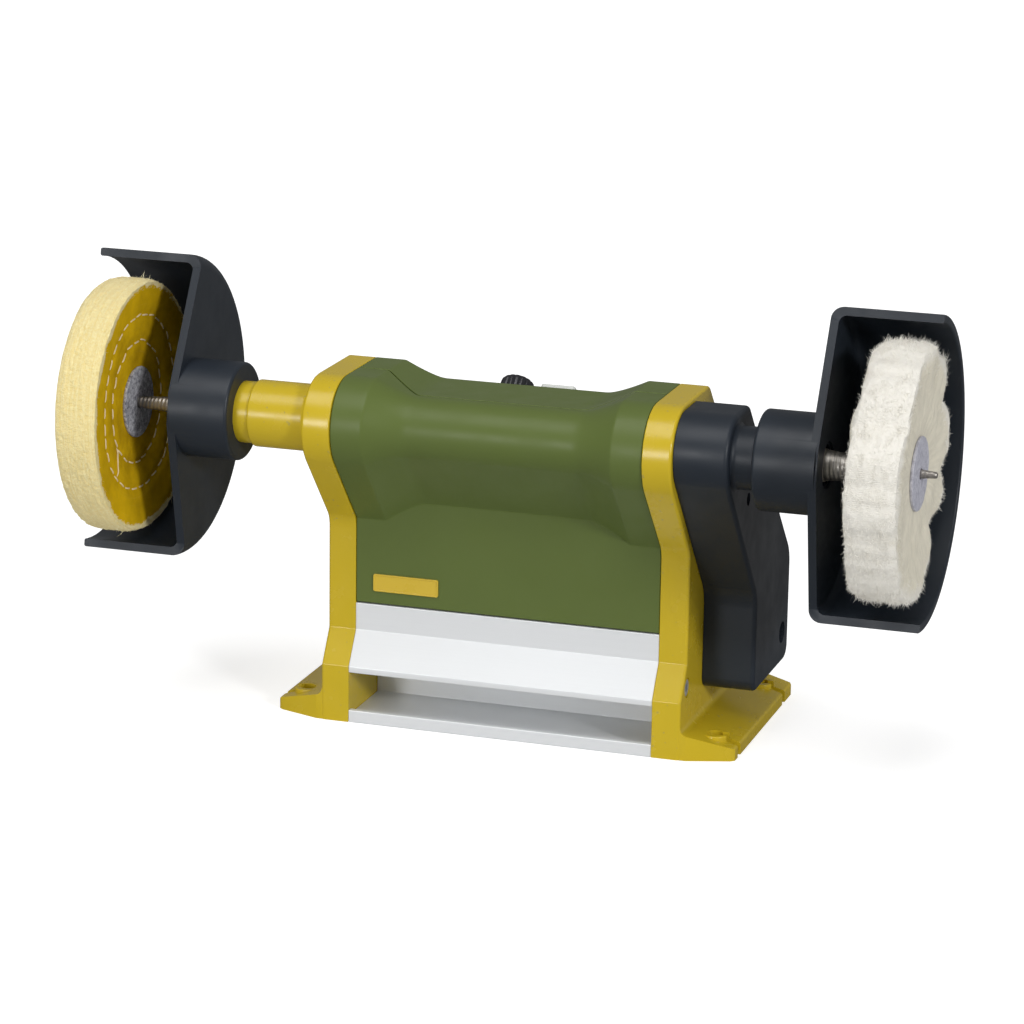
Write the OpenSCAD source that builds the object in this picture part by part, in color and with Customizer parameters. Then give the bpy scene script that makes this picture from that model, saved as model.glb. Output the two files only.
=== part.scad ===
// Bench polisher with two polishing wheels on one belt-driven spindle.
// X runs along the spindle, -Y faces the user and Z points up. The origin is
// the centre of the four bench bolts, on the face that stands on the bench.

/* [Spindle] */
// Height of the spindle axis above the bench
spindle_h = 123.5; // [118:0.5:135]
// Distance of the spindle axis in front of the middle of the base
spindle_reach = 53; // [49:0.5:56]
// Radius of the steel spindle
shaft_r = 5; // [4.5:0.1:5.4]
// Distance from the middle of the machine to each end of the plain spindle
shaft_end_x = 124; // [123:0.5:126]
// Distance from the middle of the machine to the tip of each tapered end
taper_tip_x = 170; // [168:0.5:174]
// Radius of the thick end of the right taper
right_taper_r = 5.8; // [5.2:0.1:6.2]
// Radius of the thick end of the left taper
left_taper_r = 3.4; // [3.2:0.1:5]
// Radius of the tip of a tapered end
taper_tip_r = 1.1; // [0.8:0.1:1.6]
// Pitch of the grooves that stand for the tapered thread
thread_pitch = 1.6; // [1.4:0.1:2]

/* [Polishing wheels] */
// Radius of a polishing wheel
wheel_r = 50; // [44:0.5:50.5]
// Width of the stitched wheel on the left
left_wheel_w = 17; // [14:0.5:18]
// Width of the loose wheel on the right
right_wheel_w = 20; // [16:0.5:21]
// Distance from the middle of the machine to the middle of the left wheel
left_wheel_x = 157.5; // [155:0.5:158]
// Distance from the middle of the machine to the middle of the right wheel
right_wheel_x = 152.4; // [150:0.2:154]
// Radius of the discs that hold the cloth at the hub
hub_r = 14; // [12:0.5:15]
// Thickness of a hub disc
hub_t = 1.3; // [1:0.1:1.8]

/* [Hoods] */
// Outer radius of a hood
hood_r = 59; // [57:0.5:61]
// Width of a hood along the spindle
hood_w = 42.5; // [40:0.5:44]
// Wall thickness of a hood
hood_wall = 3.2; // [2.6:0.1:3.6]
// Distance from the middle of the machine to the side wall of a hood
hood_x = 125.4; // [125:0.2:127]
// Radius of the round boss that carries a hood
hood_boss_r = 19.2; // [17.5:0.1:20]
// Length of the boss
hood_boss_l = 21.6; // [18:0.2:23]
// Angle by which the hoods lean back at rest
hood_tilt = 10; // [0:1:20]

/* [Arms] */
// Radius of the left arm
arm_r = 13.1; // [12.8:0.1:15]
// Length of the thick part of the left arm
arm_l = 24.6; // [20:0.2:27]
// Radius of the necks on which the hoods turn
neck_r = 12; // [11.6:0.1:12.4]
// Radius of the clear bore in the arms
arm_bore_r = 7.4; // [6.5:0.1:8]

/* [Base] */
// Length of the base profile between the two frames
base_w = 124; // [118:0.5:126]
// Depth of the base from front to back
base_d = 97; // [94:0.5:104]
// Height of the base profile
base_h = 47; // [44:0.5:49]
// Wall thickness of the base profile
base_wall = 2.5; // [2:0.1:3]
// Thickness of the floor of the base profile
floor_t = 3; // [2.5:0.1:3.5]
// Height of the front lip below the channel
lip_h = 5; // [4:0.5:6]
// Height of the underside of the shelf over the channel
shelf_h = 20.5; // [19:0.5:21]
// Depth of the channel
channel_d = 33.5; // [28:0.5:34]
// Distance by which the upper walls stand back from the base's edge
waist_in = 8.1; // [6:0.1:9]
// Height at which the sloping walls of the base become upright
waist_h = 36; // [34:0.5:38]

/* [Frames] */
// Thickness of a side frame
frame_t = 11.4; // [10.6:0.1:12]
// Distance by which a foot reaches outwards from its frame
foot_l = 20.3; // [19:0.1:22]
// Height of a foot where it leaves the frame
foot_in_h = 10.5; // [9:0.5:12]
// Height of a foot at its outer end
foot_out_h = 4.8; // [4:0.1:6]
// Distance between the bench bolts along the spindle
bolt_dx = 168; // [166:0.5:172]
// Distance between the bench bolts from front to back
bolt_dy = 70; // [66:0.5:74]
// Radius of a bench bolt hole
bolt_hole_r = 3.2; // [2.9:0.1:3.6]
// Width of the slot that opens a bolt hole outwards
bolt_slot_w = 4; // [3:0.1:4.2]
// Depth of the pocket on the inner side of a frame
pocket_d = 6; // [4:0.5:7]

/* [Housing shape] */
// Angle between the sloping front face and the vertical
front_lean = 42; // [38:0.5:44]
// Angle between the sloping rear face and the vertical
rear_lean = 44; // [40:0.5:46]
// Distance from the spindle axis to the front slope of the thick ends
end_off = 18.6; // [17.5:0.1:20]
// Height of the flat top of the thick ends above the spindle axis
end_top = 18; // [17:0.1:19]
// Distance from the spindle axis to the front slope of the slim middle
mid_off = 13; // [12:0.1:14]
// Height of the flat top of the slim middle above the spindle axis
mid_top = 12; // [11.5:0.1:13]
// Distance from the spindle axis back to the rear edge of the flat top
top_back = 35.5; // [33:0.5:37]
// Wall thickness of the green covers
cover_wall = 2.5; // [2:0.1:3]
// Length of each thick end of the covers
block_l = 12.5; // [10:0.5:14]
// Length over which a thick end tapers into the slim middle
blend_l = 16; // [13:0.5:20]
// Distance from the spindle back to the joint line on the slim middle
joint_mid = 2.7; // [2:0.1:4]
// Distance from the spindle back to the joint line on the thick ends
joint_end = 15; // [12:0.5:18]

/* [Belt cover] */
// Depth of the belt cover along the spindle
belt_cover_d = 21.1; // [20.5:0.1:23]
// Wall thickness of the belt cover
belt_cover_wall = 2; // [1.6:0.1:2.2]
// Radius of the belt cover round the spindle
belt_head_r = 15.9; // [15.6:0.1:16.5]
// Distance from the motor axis to the front face of the belt cover
belt_front = 31; // [28:0.5:33]
// Distance from the motor axis to the rear face of the belt cover
belt_back = 22.5; // [20:0.5:24]
// Distance from the motor axis down to the lower face of the belt cover
belt_below = 28; // [25:0.5:29]

/* [Drive] */
// Distance of the motor axis in front of the rear wall
motor_in = 27.4; // [26.4:0.1:29]
// Height of the motor axis above the bench
motor_h = 48; // [47:0.5:50]
// Radius of the motor can
motor_r = 22; // [20:0.5:23]
// Length of the motor can
can_l = 58; // [50:1:62]
// Radius of the motor shaft
motor_shaft_r = 3; // [2.5:0.1:3.2]
// Radius of the spindle pulley at the belt's inner face
spindle_pulley_r = 11.4; // [10.8:0.1:11.8]
// Speed of the motor as a multiple of the spindle's
drive_ratio = 1.5; // [1.4:0.05:1.7]
// Pitch of the belt's long ribs
rib_pitch = 1.6; // [1.4:0.1:1.7]
// Depth of the belt's long ribs
rib_depth = 1; // [0.6:0.1:1.1]
// Thickness of the belt's backing
belt_t = 1.1; // [0.8:0.1:1.2]

/* [Controls] */
// Position of the speed dial along the spindle
dial_x = -7; // [-9:0.5:-5]
// Radius of the speed dial
dial_r = 6.9; // [6:0.1:7]
// Height of the speed dial
dial_h = 7; // [5:0.1:8]
// Distance of the dial's centre down the rear slope
dial_down = 9.5; // [9:0.5:12]
// Position of the switch along the spindle
switch_x = 12; // [11:0.5:16]
// Width of the switch frame
switch_w = 14; // [12:0.5:15]
// Length of the switch frame down the slope
switch_l = 20; // [18:0.5:21]
// Height of the switch frame above the cover
switch_h = 2; // [1.5:0.1:2.5]
// Radius of the cord's way through the gland
gland_bore_r = 3.25; // [2.8:0.05:3.5]

/* [Fits] */
// Radial clearance of a running fit
running = 0.06; // [0.04:0.01:0.1]
// Clearance of a part that sits fast in or on another
seated = 0.02; // [0.01:0.01:0.04]
// Gap between parts that move past each other
gap = 0.4; // [0.35:0.05:0.6]

/* [Hidden] */
$fn = 64;

yellow = "#b39a24";
green = "#586b38";
black = "#2f3337";
steel = "#b9bcc0";
alloy = "#dfe2e4";

// Places that follow from the sizes above
spindle_y = -spindle_reach;
base_front = -base_d / 2;
wall_front = base_front + waist_in;
motor_y = -wall_front - motor_in;
frame_in = base_w / 2;
frame_out = frame_in + frame_t;
foot_x = frame_out + foot_l;
shelf_top = shelf_h + base_wall;
port_y = -wall_front - 1.5;
port_z = shelf_top + 3.5;
port_r = 4.8;
screw_r = 2;
screw_head_r = 3.5;
screw_head_h = 3;
screw_recess_r = screw_head_r + 0.4;
screw_recess_d = screw_head_h + 0.4;
screw_bore_r = screw_r + 0.15;
screw_grip = 14;
screw_key_r = 1.5;
loose = 0.03;
neck_end_x = shaft_end_x - 1;
waist_slope = waist_in / (waist_h - shelf_top);

// Sections, and the rounding of their corners
corner_steps = 6;
nose_r = 19;
mid_nose_r = 13.3;
top_edge_r = 6;
frame_waist_r = 9;
cover_waist_r = 2;
rear_waist_r = 12;
foot_edge_r = 1.5;
frame_proud = 0.7;
belt_edge_r = 5;
belt_heel_r = 6;
belt_waist_r = 14;
belt_head_rise = 0.6;

// Sizes of the bearings, pulleys and motor
small_ring_r = 9.5;
small_ring_w = 5;
small_ball_r = 1.2;
small_pitch_r = 7.25;
small_balls = 9;
large_ring_r = 13;
large_ring_w = 8;
large_ball_r = 2.2;
large_pitch_r = 9.1;
large_balls = 8;
race_t = 1.15;
large_race_t = 2.3;
belt_ribs = 6;
belt_w = belt_ribs * rib_pitch;
belt_x = frame_out + belt_cover_d / 2 - 0.4;
motor_pulley_r = spindle_pulley_r / drive_ratio;
flange_t = 1;
belt_lift = 0.1;
flange_up = belt_t * 0.6;
cap_l = 8;
brush_cap_l = 10;
can_wall = 1.5;
can_right = frame_in - cap_l;
can_left = can_right - can_l;
armature_r = motor_r - 6.5;
armature_in = 8;
magnet_t = 4;
bush_r = motor_shaft_r + 2.5;
commutator_out = 6;
cap_wall = 4;
cap_end = 3;
motor_screw_r = 1.8;
motor_screw_pcd_r = 15;
motor_screw_turns = [135, 315];
motor_head_r = 3.2;
motor_head_h = 2.2;
motor_hole_r = motor_pulley_r + flange_up + 1.5;

// Places on the rear cover and inside it
post_x = 28;
post_down = 23.5;
post_z = spindle_h - post_down;
post_r = 4;
post_bore_r = 1.6;
post_head_r = 3.4;
post_head_h = 2.4;
post_recess_r = 3.9;
gland_in = 18;
gland_up = 13;
gland_x = -frame_in + gland_in;
gland_z = base_h + gland_up;
gland_r = 5.6;
gland_flange_r = 7.5;
gland_l = 12;
board_side = 10.5;
board_w = base_d - 2 * waist_in - 2 * board_side;
board_t = 1.6;
board_x = -frame_in + 3;
board_clear = 7;
board_l = can_left - brush_cap_l - board_clear - board_x;
board_z = shelf_top + 7;
pillar_r = 2.5;
pillar_pin_r = 1.5;
pillar_in = 4;
pot_r = 8;
pot_l = 9;
pot_neck_r = 4;
dial_shaft_r = 3;
rocker_in = 1.6;
rocker_swing = 10;

// Vents in the rear cover
vent_w = 2.2;
vent_pitch = 5;
vent_count = 9;
vent_x = 0;
vent_up = 6;
vent_l = 18;
vent_low = base_h + vent_up;
vent_high = vent_low + vent_l;

// Point reached from a corner towards another point
function unit(v) = v / norm(v);
function bisector(u, v) = unit(u + v);

// Points of an arc that rounds corner q between p and s with radius r
function corner(p, q, s, r) =
    let (u = unit(p - q), v = unit(s - q))
    let (half = acos(max(-1, min(1, u * v))) / 2)
    let (c = q + bisector(u, v) * r / sin(half))
    let (a = q + u * r / tan(half) - c, b = q + v * r / tan(half) - c)
    let (a0 = atan2(a.y, a.x), turn = atan2(b.y, b.x) - a0)
    let (sweep = turn > 180 ? turn - 360 : turn < -180 ? turn + 360 : turn)
    [for (i = [0:corner_steps])
        c + r * [cos(a0 + sweep * i / corner_steps),
                 sin(a0 + sweep * i / corner_steps)]];

// Outline with each corner [y, z, radius] rounded, or kept sharp at 0
function rounded(pts) =
    let (n = len(pts))
    [for (i = [0:n - 1])
        let (p = pts[(i + n - 1) % n], q = pts[i], s = pts[(i + 1) % n])
        each (q[2] > 0
            ? corner([p[0], p[1]], [q[0], q[1]], [s[0], s[1]], q[2])
            : [[q[0], q[1]]])];

// Front slope at a distance off from the spindle axis
function front_y(off, z) =
    spindle_y + (spindle_h - z) * tan(front_lean) - off / cos(front_lean);
function front_z(off, y) =
    spindle_h - (y - spindle_y + off / cos(front_lean)) / tan(front_lean);

// Rear slope, which starts at the rear edge of a flat top
function rear_y(top, z) =
    spindle_y + top_back + (spindle_h + top - z) * tan(rear_lean);
function rear_z(top, y) =
    spindle_h + top - (y - spindle_y - top_back) / tan(rear_lean);

// Side view of the covers, drawn in from the full shape by inset
function cover_outline(off, top, nose, inset) =
    let (zt = spindle_h + top - inset, o = off - inset)
    let (yf = wall_front + inset, yr = -wall_front - inset)
    let (rear_shift = inset / cos(rear_lean))
    let (zr = rear_z(top, yr + rear_shift))
    rounded([
        [yf, base_h, 0],
        [yr, base_h, 0],
        [yr, zr, rear_waist_r - inset],
        [rear_y(top, zt) - rear_shift, zt, top_edge_r - inset],
        [front_y(o, zt), zt, nose - inset],
        [yf, front_z(o, yf), cover_waist_r + inset]]);

// Side view of a frame
function frame_outline(inset) =
    let (zt = spindle_h + end_top - inset, o = end_off + frame_proud - inset)
    let (yf = wall_front + inset, yr = -wall_front - inset)
    let (rear_shift = inset / cos(rear_lean))
    rounded([
        [base_front, 0, 0],
        [-base_front, 0, 0],
        [-base_front, shelf_top, foot_edge_r],
        [yr, waist_h, foot_edge_r],
        [yr, rear_z(end_top, yr + rear_shift), rear_waist_r],
        [rear_y(end_top, zt) - rear_shift, zt, top_edge_r],
        [front_y(o, zt), zt, nose_r],
        [yf, front_z(o, yf), frame_waist_r],
        [yf, waist_h, foot_edge_r],
        [base_front, shelf_top, foot_edge_r]]);

// Front slope of the belt cover, along the line from the spindle to the motor
belt_lean = atan2(motor_y - spindle_y, spindle_h - motor_h);
function belt_y(off, z) =
    spindle_y + (spindle_h - z) * tan(belt_lean) - off / cos(belt_lean);
function belt_z(off, y) =
    spindle_h - (y - spindle_y + off / cos(belt_lean)) / tan(belt_lean);

// Side view of the belt cover
function belt_outline(inset) =
    let (zt = spindle_h + belt_head_r + belt_head_rise - inset, o = belt_head_r - inset)
    let (yf = motor_y - belt_front + inset, yr = motor_y + belt_back - inset)
    let (zb = motor_h - belt_below + inset)
    let (rear_edge = belt_head_r - inset * tan(rear_lean / 2))
    let (rear_run = yr - spindle_y - rear_edge)
    rounded([
        [yf, zb, belt_edge_r - inset],
        [yr, zb, belt_heel_r - inset],
        [yr, zt - rear_run / tan(rear_lean), belt_waist_r - inset],
        [spindle_y + rear_edge, zt, belt_edge_r - inset],
        [belt_y(o, zt), zt, belt_head_r - inset],
        [yf, belt_z(o, yf), belt_waist_r + inset]]);

// Solid with a side view, from one place on the spindle to another
module side_plate(x0, x1) {
    translate([x0, 0, 0]) rotate([90, 0, 90])
        linear_extrude(x1 - x0) children();
}

// Turns +Z to +X and moves to a place on the spindle's axis
module at_spindle(x) {
    translate([x, spindle_y, spindle_h]) rotate([0, 90, 0]) children();
}

// The same for the motor's axis
module at_motor(x) {
    translate([x, motor_y, motor_h]) rotate([0, 90, 0]) children();
}

// Ring between two radii
module ring(r_in, r_out, h) {
    rotate_extrude() translate([r_in, 0]) square([r_out - r_in, h]);
}

// Place on the rear slope of the slim middle, with +Z out of the cover
module on_slope(x, down) {
    translate([x, spindle_y + top_back + down * sin(rear_lean),
               spindle_h + mid_top - down * cos(rear_lean)])
        rotate([rear_lean - 90, 0, 0]) children();
}

// Closed skin through outlines that all have the same number of points
module skin(xs, outlines) {
    n = len(outlines[0]);
    m = len(xs);
    pts = [for (i = [0:m - 1]) for (p = outlines[i]) [xs[i], p[0], p[1]]];
    sides = [for (i = [0:m - 2]) for (j = [0:n - 1])
        let (k = (j + 1) % n)
        each [[i * n + j, (i + 1) * n + j, (i + 1) * n + k],
              [i * n + j, (i + 1) * n + k, i * n + k]]];
    low = [[for (j = [0:n - 1]) j]];
    high = [[for (j = [n - 1:-1:0]) (m - 1) * n + j]];
    polyhedron(points = pts, faces = concat(low, sides, high));
}

// Share of the way from a thick end to the slim middle: a straight slope
// from the edge of the thick end that eases into the middle
blend_steps = 5;
blend_ease = 1.3;
blend_in = frame_in - block_l;
function blend_at(i) = 1 - pow(1 - i / blend_steps, blend_ease);
half_xs = concat([frame_in], [for (i = [0:blend_steps]) blend_in - blend_l * i / blend_steps]);
half_shares = concat([0], [for (i = [0:blend_steps]) blend_at(i)]);

module cover_skin(inset, extra) {
    n = len(half_xs);
    xs = concat([for (i = [0:n - 1]) -half_xs[i] - (i == 0 ? extra : 0)],
                [for (i = [n - 1:-1:0]) half_xs[i] + (i == 0 ? extra : 0)]);
    shares = concat(half_shares, [for (i = [n - 1:-1:0]) half_shares[i]]);
    skin(xs, [for (s = shares)
        cover_outline(end_off + (mid_off - end_off) * s,
                      end_top + (mid_top - end_top) * s,
                      nose_r + (mid_nose_r - nose_r) * s, inset)]);
}

module cover_shell() {
    difference() {
        cover_skin(0, 0);
        translate([0, 0, -1]) cover_skin(cover_wall, 1);
        cover_skin(cover_wall, 1);
    }
}

// Space in front of the joint between the covers. The joint runs from its
// line on the top down and back, and the line bends at the thick ends.
joint_lean = 30;
function joint_v(back, top) =
    (spindle_y + back) * cos(joint_lean) + (spindle_h + top) * sin(joint_lean);
module front_space(shift) {
    far = 3 * base_d;
    v_end = joint_v(joint_end, end_top) + shift;
    v_mid = joint_v(joint_mid, mid_top) + shift;
    x_mid = blend_in - blend_l;
    rotate([joint_lean, 0, 0])
        translate([0, 0, -far])
            linear_extrude(2 * far)
                polygon([[-far, -far], [far, -far], [far, v_end],
                         [blend_in, v_end], [x_mid, v_mid], [-x_mid, v_mid],
                         [-blend_in, v_end], [-far, v_end]]);
}

// Base profile and frames

// A bar of the base profile that runs from frame to frame
module bar() {
    side_plate(-frame_in, frame_in) children();
}

// Front half of the profile: floor, lip, channel wall, shelf, sloping wall
// and screw port
module base_half() {
    knee = 0.5;
    wall_run = base_wall * sqrt(1 + waist_slope * waist_slope);
    bar() translate([base_front, 0]) square([base_d / 2 + knee, floor_t]);
    bar() translate([base_front, 0]) square([base_wall, lip_h]);
    bar() translate([base_front + channel_d, 0]) square([base_wall, shelf_top]);
    bar() translate([base_front, shelf_h]) square([base_d / 2 + knee, base_wall]);
    bar() polygon([[base_front, shelf_h], [base_front + wall_run, shelf_h],
                   [wall_front + base_wall, waist_h - knee],
                   [wall_front + base_wall, base_h], [wall_front, base_h],
                   [wall_front, waist_h], [base_front, shelf_top]]);
    bar() translate([-port_y, port_z]) circle(port_r);
}

module base_profile() {
    color(alloy) difference() {
        union() {
            base_half();
            mirror([0, 1, 0]) base_half();
        }
        for (s = [-1, 1])
            side_plate(-frame_in - 1, frame_in + 1)
                translate([s * port_y, port_z]) circle(screw_r);
    }
}

// Foot of the right frame, with its two open bolt slots
module foot() {
    hole_x = bolt_dx / 2;
    rim_r = bolt_hole_r + 2.2;
    slope = (foot_in_h - foot_out_h) / foot_l;
    rim_top = foot_out_h + slope * (foot_x - hole_x) + 0.9;
    difference() {
        union() {
            intersection() {
                translate([0, base_d, 0]) rotate([90, 0, 0])
                    linear_extrude(2 * base_d)
                        polygon([[frame_in, 0], [foot_x, 0], [foot_x, foot_out_h],
                                 [frame_out, foot_in_h],
                                 [frame_out - 1, foot_in_h], [frame_in, foot_in_h]]);
                linear_extrude(foot_in_h)
                    polygon([[frame_in, base_front], [frame_out, base_front],
                             [foot_x - 1.5, base_front + 6],
                             [foot_x, base_front + 7.5],
                             [foot_x, -base_front - 1.5],
                             [foot_x - 1.5, -base_front], [frame_in, -base_front]]);
            }
            for (s = [-1, 1])
                translate([hole_x, s * bolt_dy / 2, 0]) cylinder(r = rim_r, h = rim_top);
        }
        for (s = [-1, 1]) {
            translate([hole_x, s * bolt_dy / 2, -1])
                cylinder(r = bolt_hole_r, h = foot_in_h + 2);
            translate([hole_x, s * bolt_dy / 2 - bolt_slot_w / 2, -1])
                cube([foot_l, bolt_slot_w, foot_in_h + 2]);
        }
    }
}

// What the two frames share, drawn for the right one
module frame_plate() {
    head_r = large_ring_r + 3.5;
    difference() {
        union() {
            difference() {
                side_plate(frame_in, frame_out) polygon(frame_outline(0));
                // Pocket on the inner side, above the base profile
                difference() {
                    side_plate(frame_in - 1, frame_in + pocket_d)
                        polygon(cover_outline(end_off, end_top, nose_r, cover_wall + 1));
                    at_spindle(frame_in - 2) cylinder(r = head_r, h = frame_t);
                    at_motor(frame_in - 2) cylinder(r = motor_r + 1, h = frame_t);
                }
            }
            foot();
        }
        for (s = [-1, 1])
            translate([frame_in - 1, s * port_y, port_z]) rotate([0, 90, 0]) {
                cylinder(r = screw_bore_r, h = frame_t + 2);
                translate([0, 0, 1 + frame_t - screw_recess_d])
                    cylinder(r = screw_recess_r, h = screw_recess_d + 1);
            }
    }
}

module left_frame() {
    color(yellow) difference() {
        union() {
            mirror([1, 0, 0]) frame_plate();
            at_spindle(-frame_out - arm_l) cylinder(r = arm_r, h = arm_l + 1);
            at_spindle(-neck_end_x) cylinder(r = neck_r, h = neck_end_x - frame_out);
            at_spindle(-frame_out - 1) cylinder(r1 = arm_r, r2 = arm_r + 1.5, h = 1.5);
        }
        at_spindle(-neck_end_x - 1) cylinder(r = arm_bore_r, h = neck_end_x + 1);
        at_spindle(-neck_end_x - 1) cylinder(r = small_ring_r, h = small_ring_w + 1.5);
        hood_groove(-1);
    }
}

// Groove in a neck for the tip of the hood's clamp screw
groove_d = 1.2;
groove_w = 5;
groove_x = hood_x - hood_boss_l / 2;
module hood_groove(side) {
    at_spindle(side * groove_x - groove_w / 2)
        ring(neck_r - groove_d, neck_r + 1, groove_w);
}

module right_frame() {
    color(yellow) difference() {
        frame_plate();
        at_spindle(frame_in - 1) cylinder(r = large_ring_r - 2, h = frame_t + 2);
        at_spindle(frame_out - large_ring_w) cylinder(r = large_ring_r, h = large_ring_w + 1);
        at_motor(frame_in - 1) cylinder(r = motor_hole_r, h = frame_t + 2);
        for (a = motor_screw_turns)
            at_motor(frame_in - 1) rotate(a) translate([motor_screw_pcd_r, 0, 0])
                cylinder(r = motor_screw_r + 0.2, h = frame_t + 2);
        for (p = belt_screws)
            translate([frame_out - belt_screw_grip - 1, p[0], p[1]]) rotate([0, 90, 0])
                cylinder(r = belt_screw_r, h = belt_screw_grip + 2);
    }
}

module cap_screw(r, head_r, head_h, grip, key_r) {
    difference() {
        union() {
            translate([0, 0, -grip]) cylinder(r = r, h = grip);
            cylinder(r = head_r, h = head_h);
        }
        translate([0, 0, head_h - 1.4]) cylinder(r = key_r, h = 2, $fn = 6);
    }
}

module frame_screws() {
    seat = frame_out - screw_recess_d;
    color(steel) for (side = [-1, 1], s = [-1, 1])
        translate([side * seat, s * port_y, port_z]) rotate([0, side * 90, 0])
            cap_screw(screw_r - loose, screw_head_r, screw_head_h,
                      seat - frame_in + screw_grip, screw_key_r);
}

// Covers

tongue_h = 4;
tongue_t = 1.8;
module tongue(side) {
    y_in = wall_front + base_wall + 0.1;
    x_len = base_w - 4;
    mirror([0, side < 0 ? 0 : 1, 0]) {
        translate([-x_len / 2, y_in, base_h - tongue_h])
            cube([x_len, tongue_t, tongue_h + 3]);
        translate([-x_len / 2, wall_front + cover_wall / 2, base_h])
            cube([x_len, y_in + tongue_t - wall_front - cover_wall / 2, 3]);
    }
}

post_end = rear_y(mid_top, post_z) - 12;
post_seat = 3;
post_bore_l = 18;
module front_cover() {
    post_start = front_y(mid_off, post_z) + cover_wall * 0.6;
    color(green) {
        difference() {
            union() {
                intersection() {
                    cover_shell();
                    front_space(-0.05);
                }
                tongue(-1);
                for (s = [-1, 1])
                    translate([s * post_x, post_start, post_z]) rotate([-90, 0, 0])
                        cylinder(r = post_r, h = post_end - post_start);
            }
            for (s = [-1, 1])
                translate([s * post_x, post_end - post_bore_l, post_z]) rotate([-90, 0, 0])
                    cylinder(r = post_bore_r, h = post_bore_l + 1);
        }
    }
}

module rear_cover() {
    post_far = 20;
    color(green) difference() {
        union() {
            difference() {
                cover_shell();
                front_space(0.05);
            }
            tongue(1);
            intersection() {
                for (s = [-1, 1])
                    translate([s * post_x, post_end, post_z]) rotate([-90, 0, 0])
                        cylinder(r = post_r + 2, h = post_far);
                side_plate(-frame_in, frame_in)
                    polygon(cover_outline(mid_off, mid_top, mid_nose_r, 0.6));
            }
        }
        for (s = [-1, 1])
            translate([s * post_x, post_end - 1, post_z]) rotate([-90, 0, 0]) {
                cylinder(r = post_bore_r + 0.2, h = post_far);
                translate([0, 0, post_seat + 1]) cylinder(r = post_recess_r, h = post_far);
            }
        on_slope(dial_x, dial_down) translate([0, 0, -cover_wall - 1])
            cylinder(r = pot_neck_r + 0.1, h = cover_wall + 2);
        on_slope(switch_x, switch_down) translate([0, 0, -cover_wall / 2])
            cube([switch_w - 2, switch_l - 2, cover_wall + 2], center = true);
        translate([gland_x, -wall_front - cover_wall - 1, gland_z]) rotate([-90, 0, 0])
            cylinder(r = gland_r + 0.1, h = cover_wall + 2);
        for (i = [0:vent_count - 1])
            translate([vent_x + i * vent_pitch, -wall_front - cover_wall - 1, vent_low])
                cube([vent_w, cover_wall + 2, vent_high - vent_low]);
    }
}

module cover_screws() {
    color(steel) for (s = [-1, 1])
        translate([s * post_x, post_end + post_seat, post_z]) rotate([-90, 0, 0])
            cap_screw(post_bore_r - loose, post_head_r, post_head_h,
                      post_seat + 0.7 * post_bore_l, screw_key_r);
}

badge_x = -frame_in + 7.5;
badge_w = 26.8;
badge_z = base_h + 5.7;
badge_h = 7;
badge_t = 0.8;
module badge() {
    rim = 0.7;
    color(yellow) translate([badge_x, wall_front - badge_t, badge_z]) difference() {
        cube([badge_w, badge_t, badge_h]);
        translate([rim, -1, rim]) cube([badge_w - 2 * rim, 1.3, badge_h - 2 * rim]);
    }
}

// Belt cover, with the neck that carries the right hood
belt_screw_r = 1.5;
belt_screw_grip = 8;
belt_head_screw_r = 2.4;
belt_head_screw_h = 1.9;
belt_seat_d = 4;
belt_wall_r = 1.2;

// Radii of the upper and the lower screw's recess
belt_recess = [belt_head_screw_r + 0.2, 4.4];

// From the spindle to the upper screw, and from the cover's corner to the lower
belt_upper = [17, -20.5];
belt_lower = [-10.5, 13];
belt_screws = [[spindle_y, spindle_h] + belt_upper,
               [motor_y + belt_back, motor_h - belt_below] + belt_lower];
belt_cover_out = frame_out + belt_cover_d;
module belt_cover() {
    inner = belt_cover_out - belt_cover_wall;
    color(black) difference() {
        union() {
            difference() {
                side_plate(frame_out, belt_cover_out) polygon(belt_outline(0));
                side_plate(frame_out - 1, inner) polygon(belt_outline(belt_cover_wall));
            }
            at_spindle(inner) cylinder(r = neck_r, h = neck_end_x - inner);
            intersection() {
                for (i = [0, 1])
                    translate([frame_out, belt_screws[i][0], belt_screws[i][1]])
                        rotate([0, 90, 0])
                            cylinder(r = belt_recess[i] + belt_wall_r, h = belt_cover_d);
                side_plate(frame_out, belt_cover_out) polygon(belt_outline(0.5));
            }
        }
        at_spindle(inner - 1) cylinder(r = arm_bore_r, h = neck_end_x);
        at_spindle(neck_end_x - seal_w - 1) cylinder(r = small_ring_r, h = seal_w + 2);
        for (i = [0, 1])
            translate([frame_out - 1, belt_screws[i][0], belt_screws[i][1]])
                rotate([0, 90, 0]) {
                    cylinder(r = belt_screw_r + 0.15, h = belt_cover_d + 2);
                    translate([0, 0, belt_cover_d + 1 - belt_seat_d])
                        cylinder(r = belt_recess[i], h = belt_seat_d + 1);
                }
        hood_groove(1);
    }
}

module belt_cover_screws() {
    seat = belt_cover_out - belt_seat_d;
    color(steel) for (p = belt_screws)
        translate([seat, p[0], p[1]]) rotate([0, 90, 0])
            cap_screw(belt_screw_r - loose, belt_head_screw_r, belt_head_screw_h,
                      seat - frame_out + belt_screw_grip, belt_screw_r * 0.7);
}

// Bearings

module groove_ring(r_in, r_out, w, pitch_r, ball_r) {
    rotate_extrude() difference() {
        translate([r_in, 0]) square([r_out - r_in, w]);
        translate([pitch_r, w / 2]) circle(ball_r + running);
    }
}

left_bearing_x = -neck_end_x + 0.5;
right_bearing_x = frame_out - large_ring_w;
seal_w = 5;

module left_bearing_ring() {
    color(steel) at_spindle(left_bearing_x)
        groove_ring(small_ring_r - race_t, small_ring_r - seated, small_ring_w,
                    small_pitch_r, small_ball_r);
}

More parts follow.
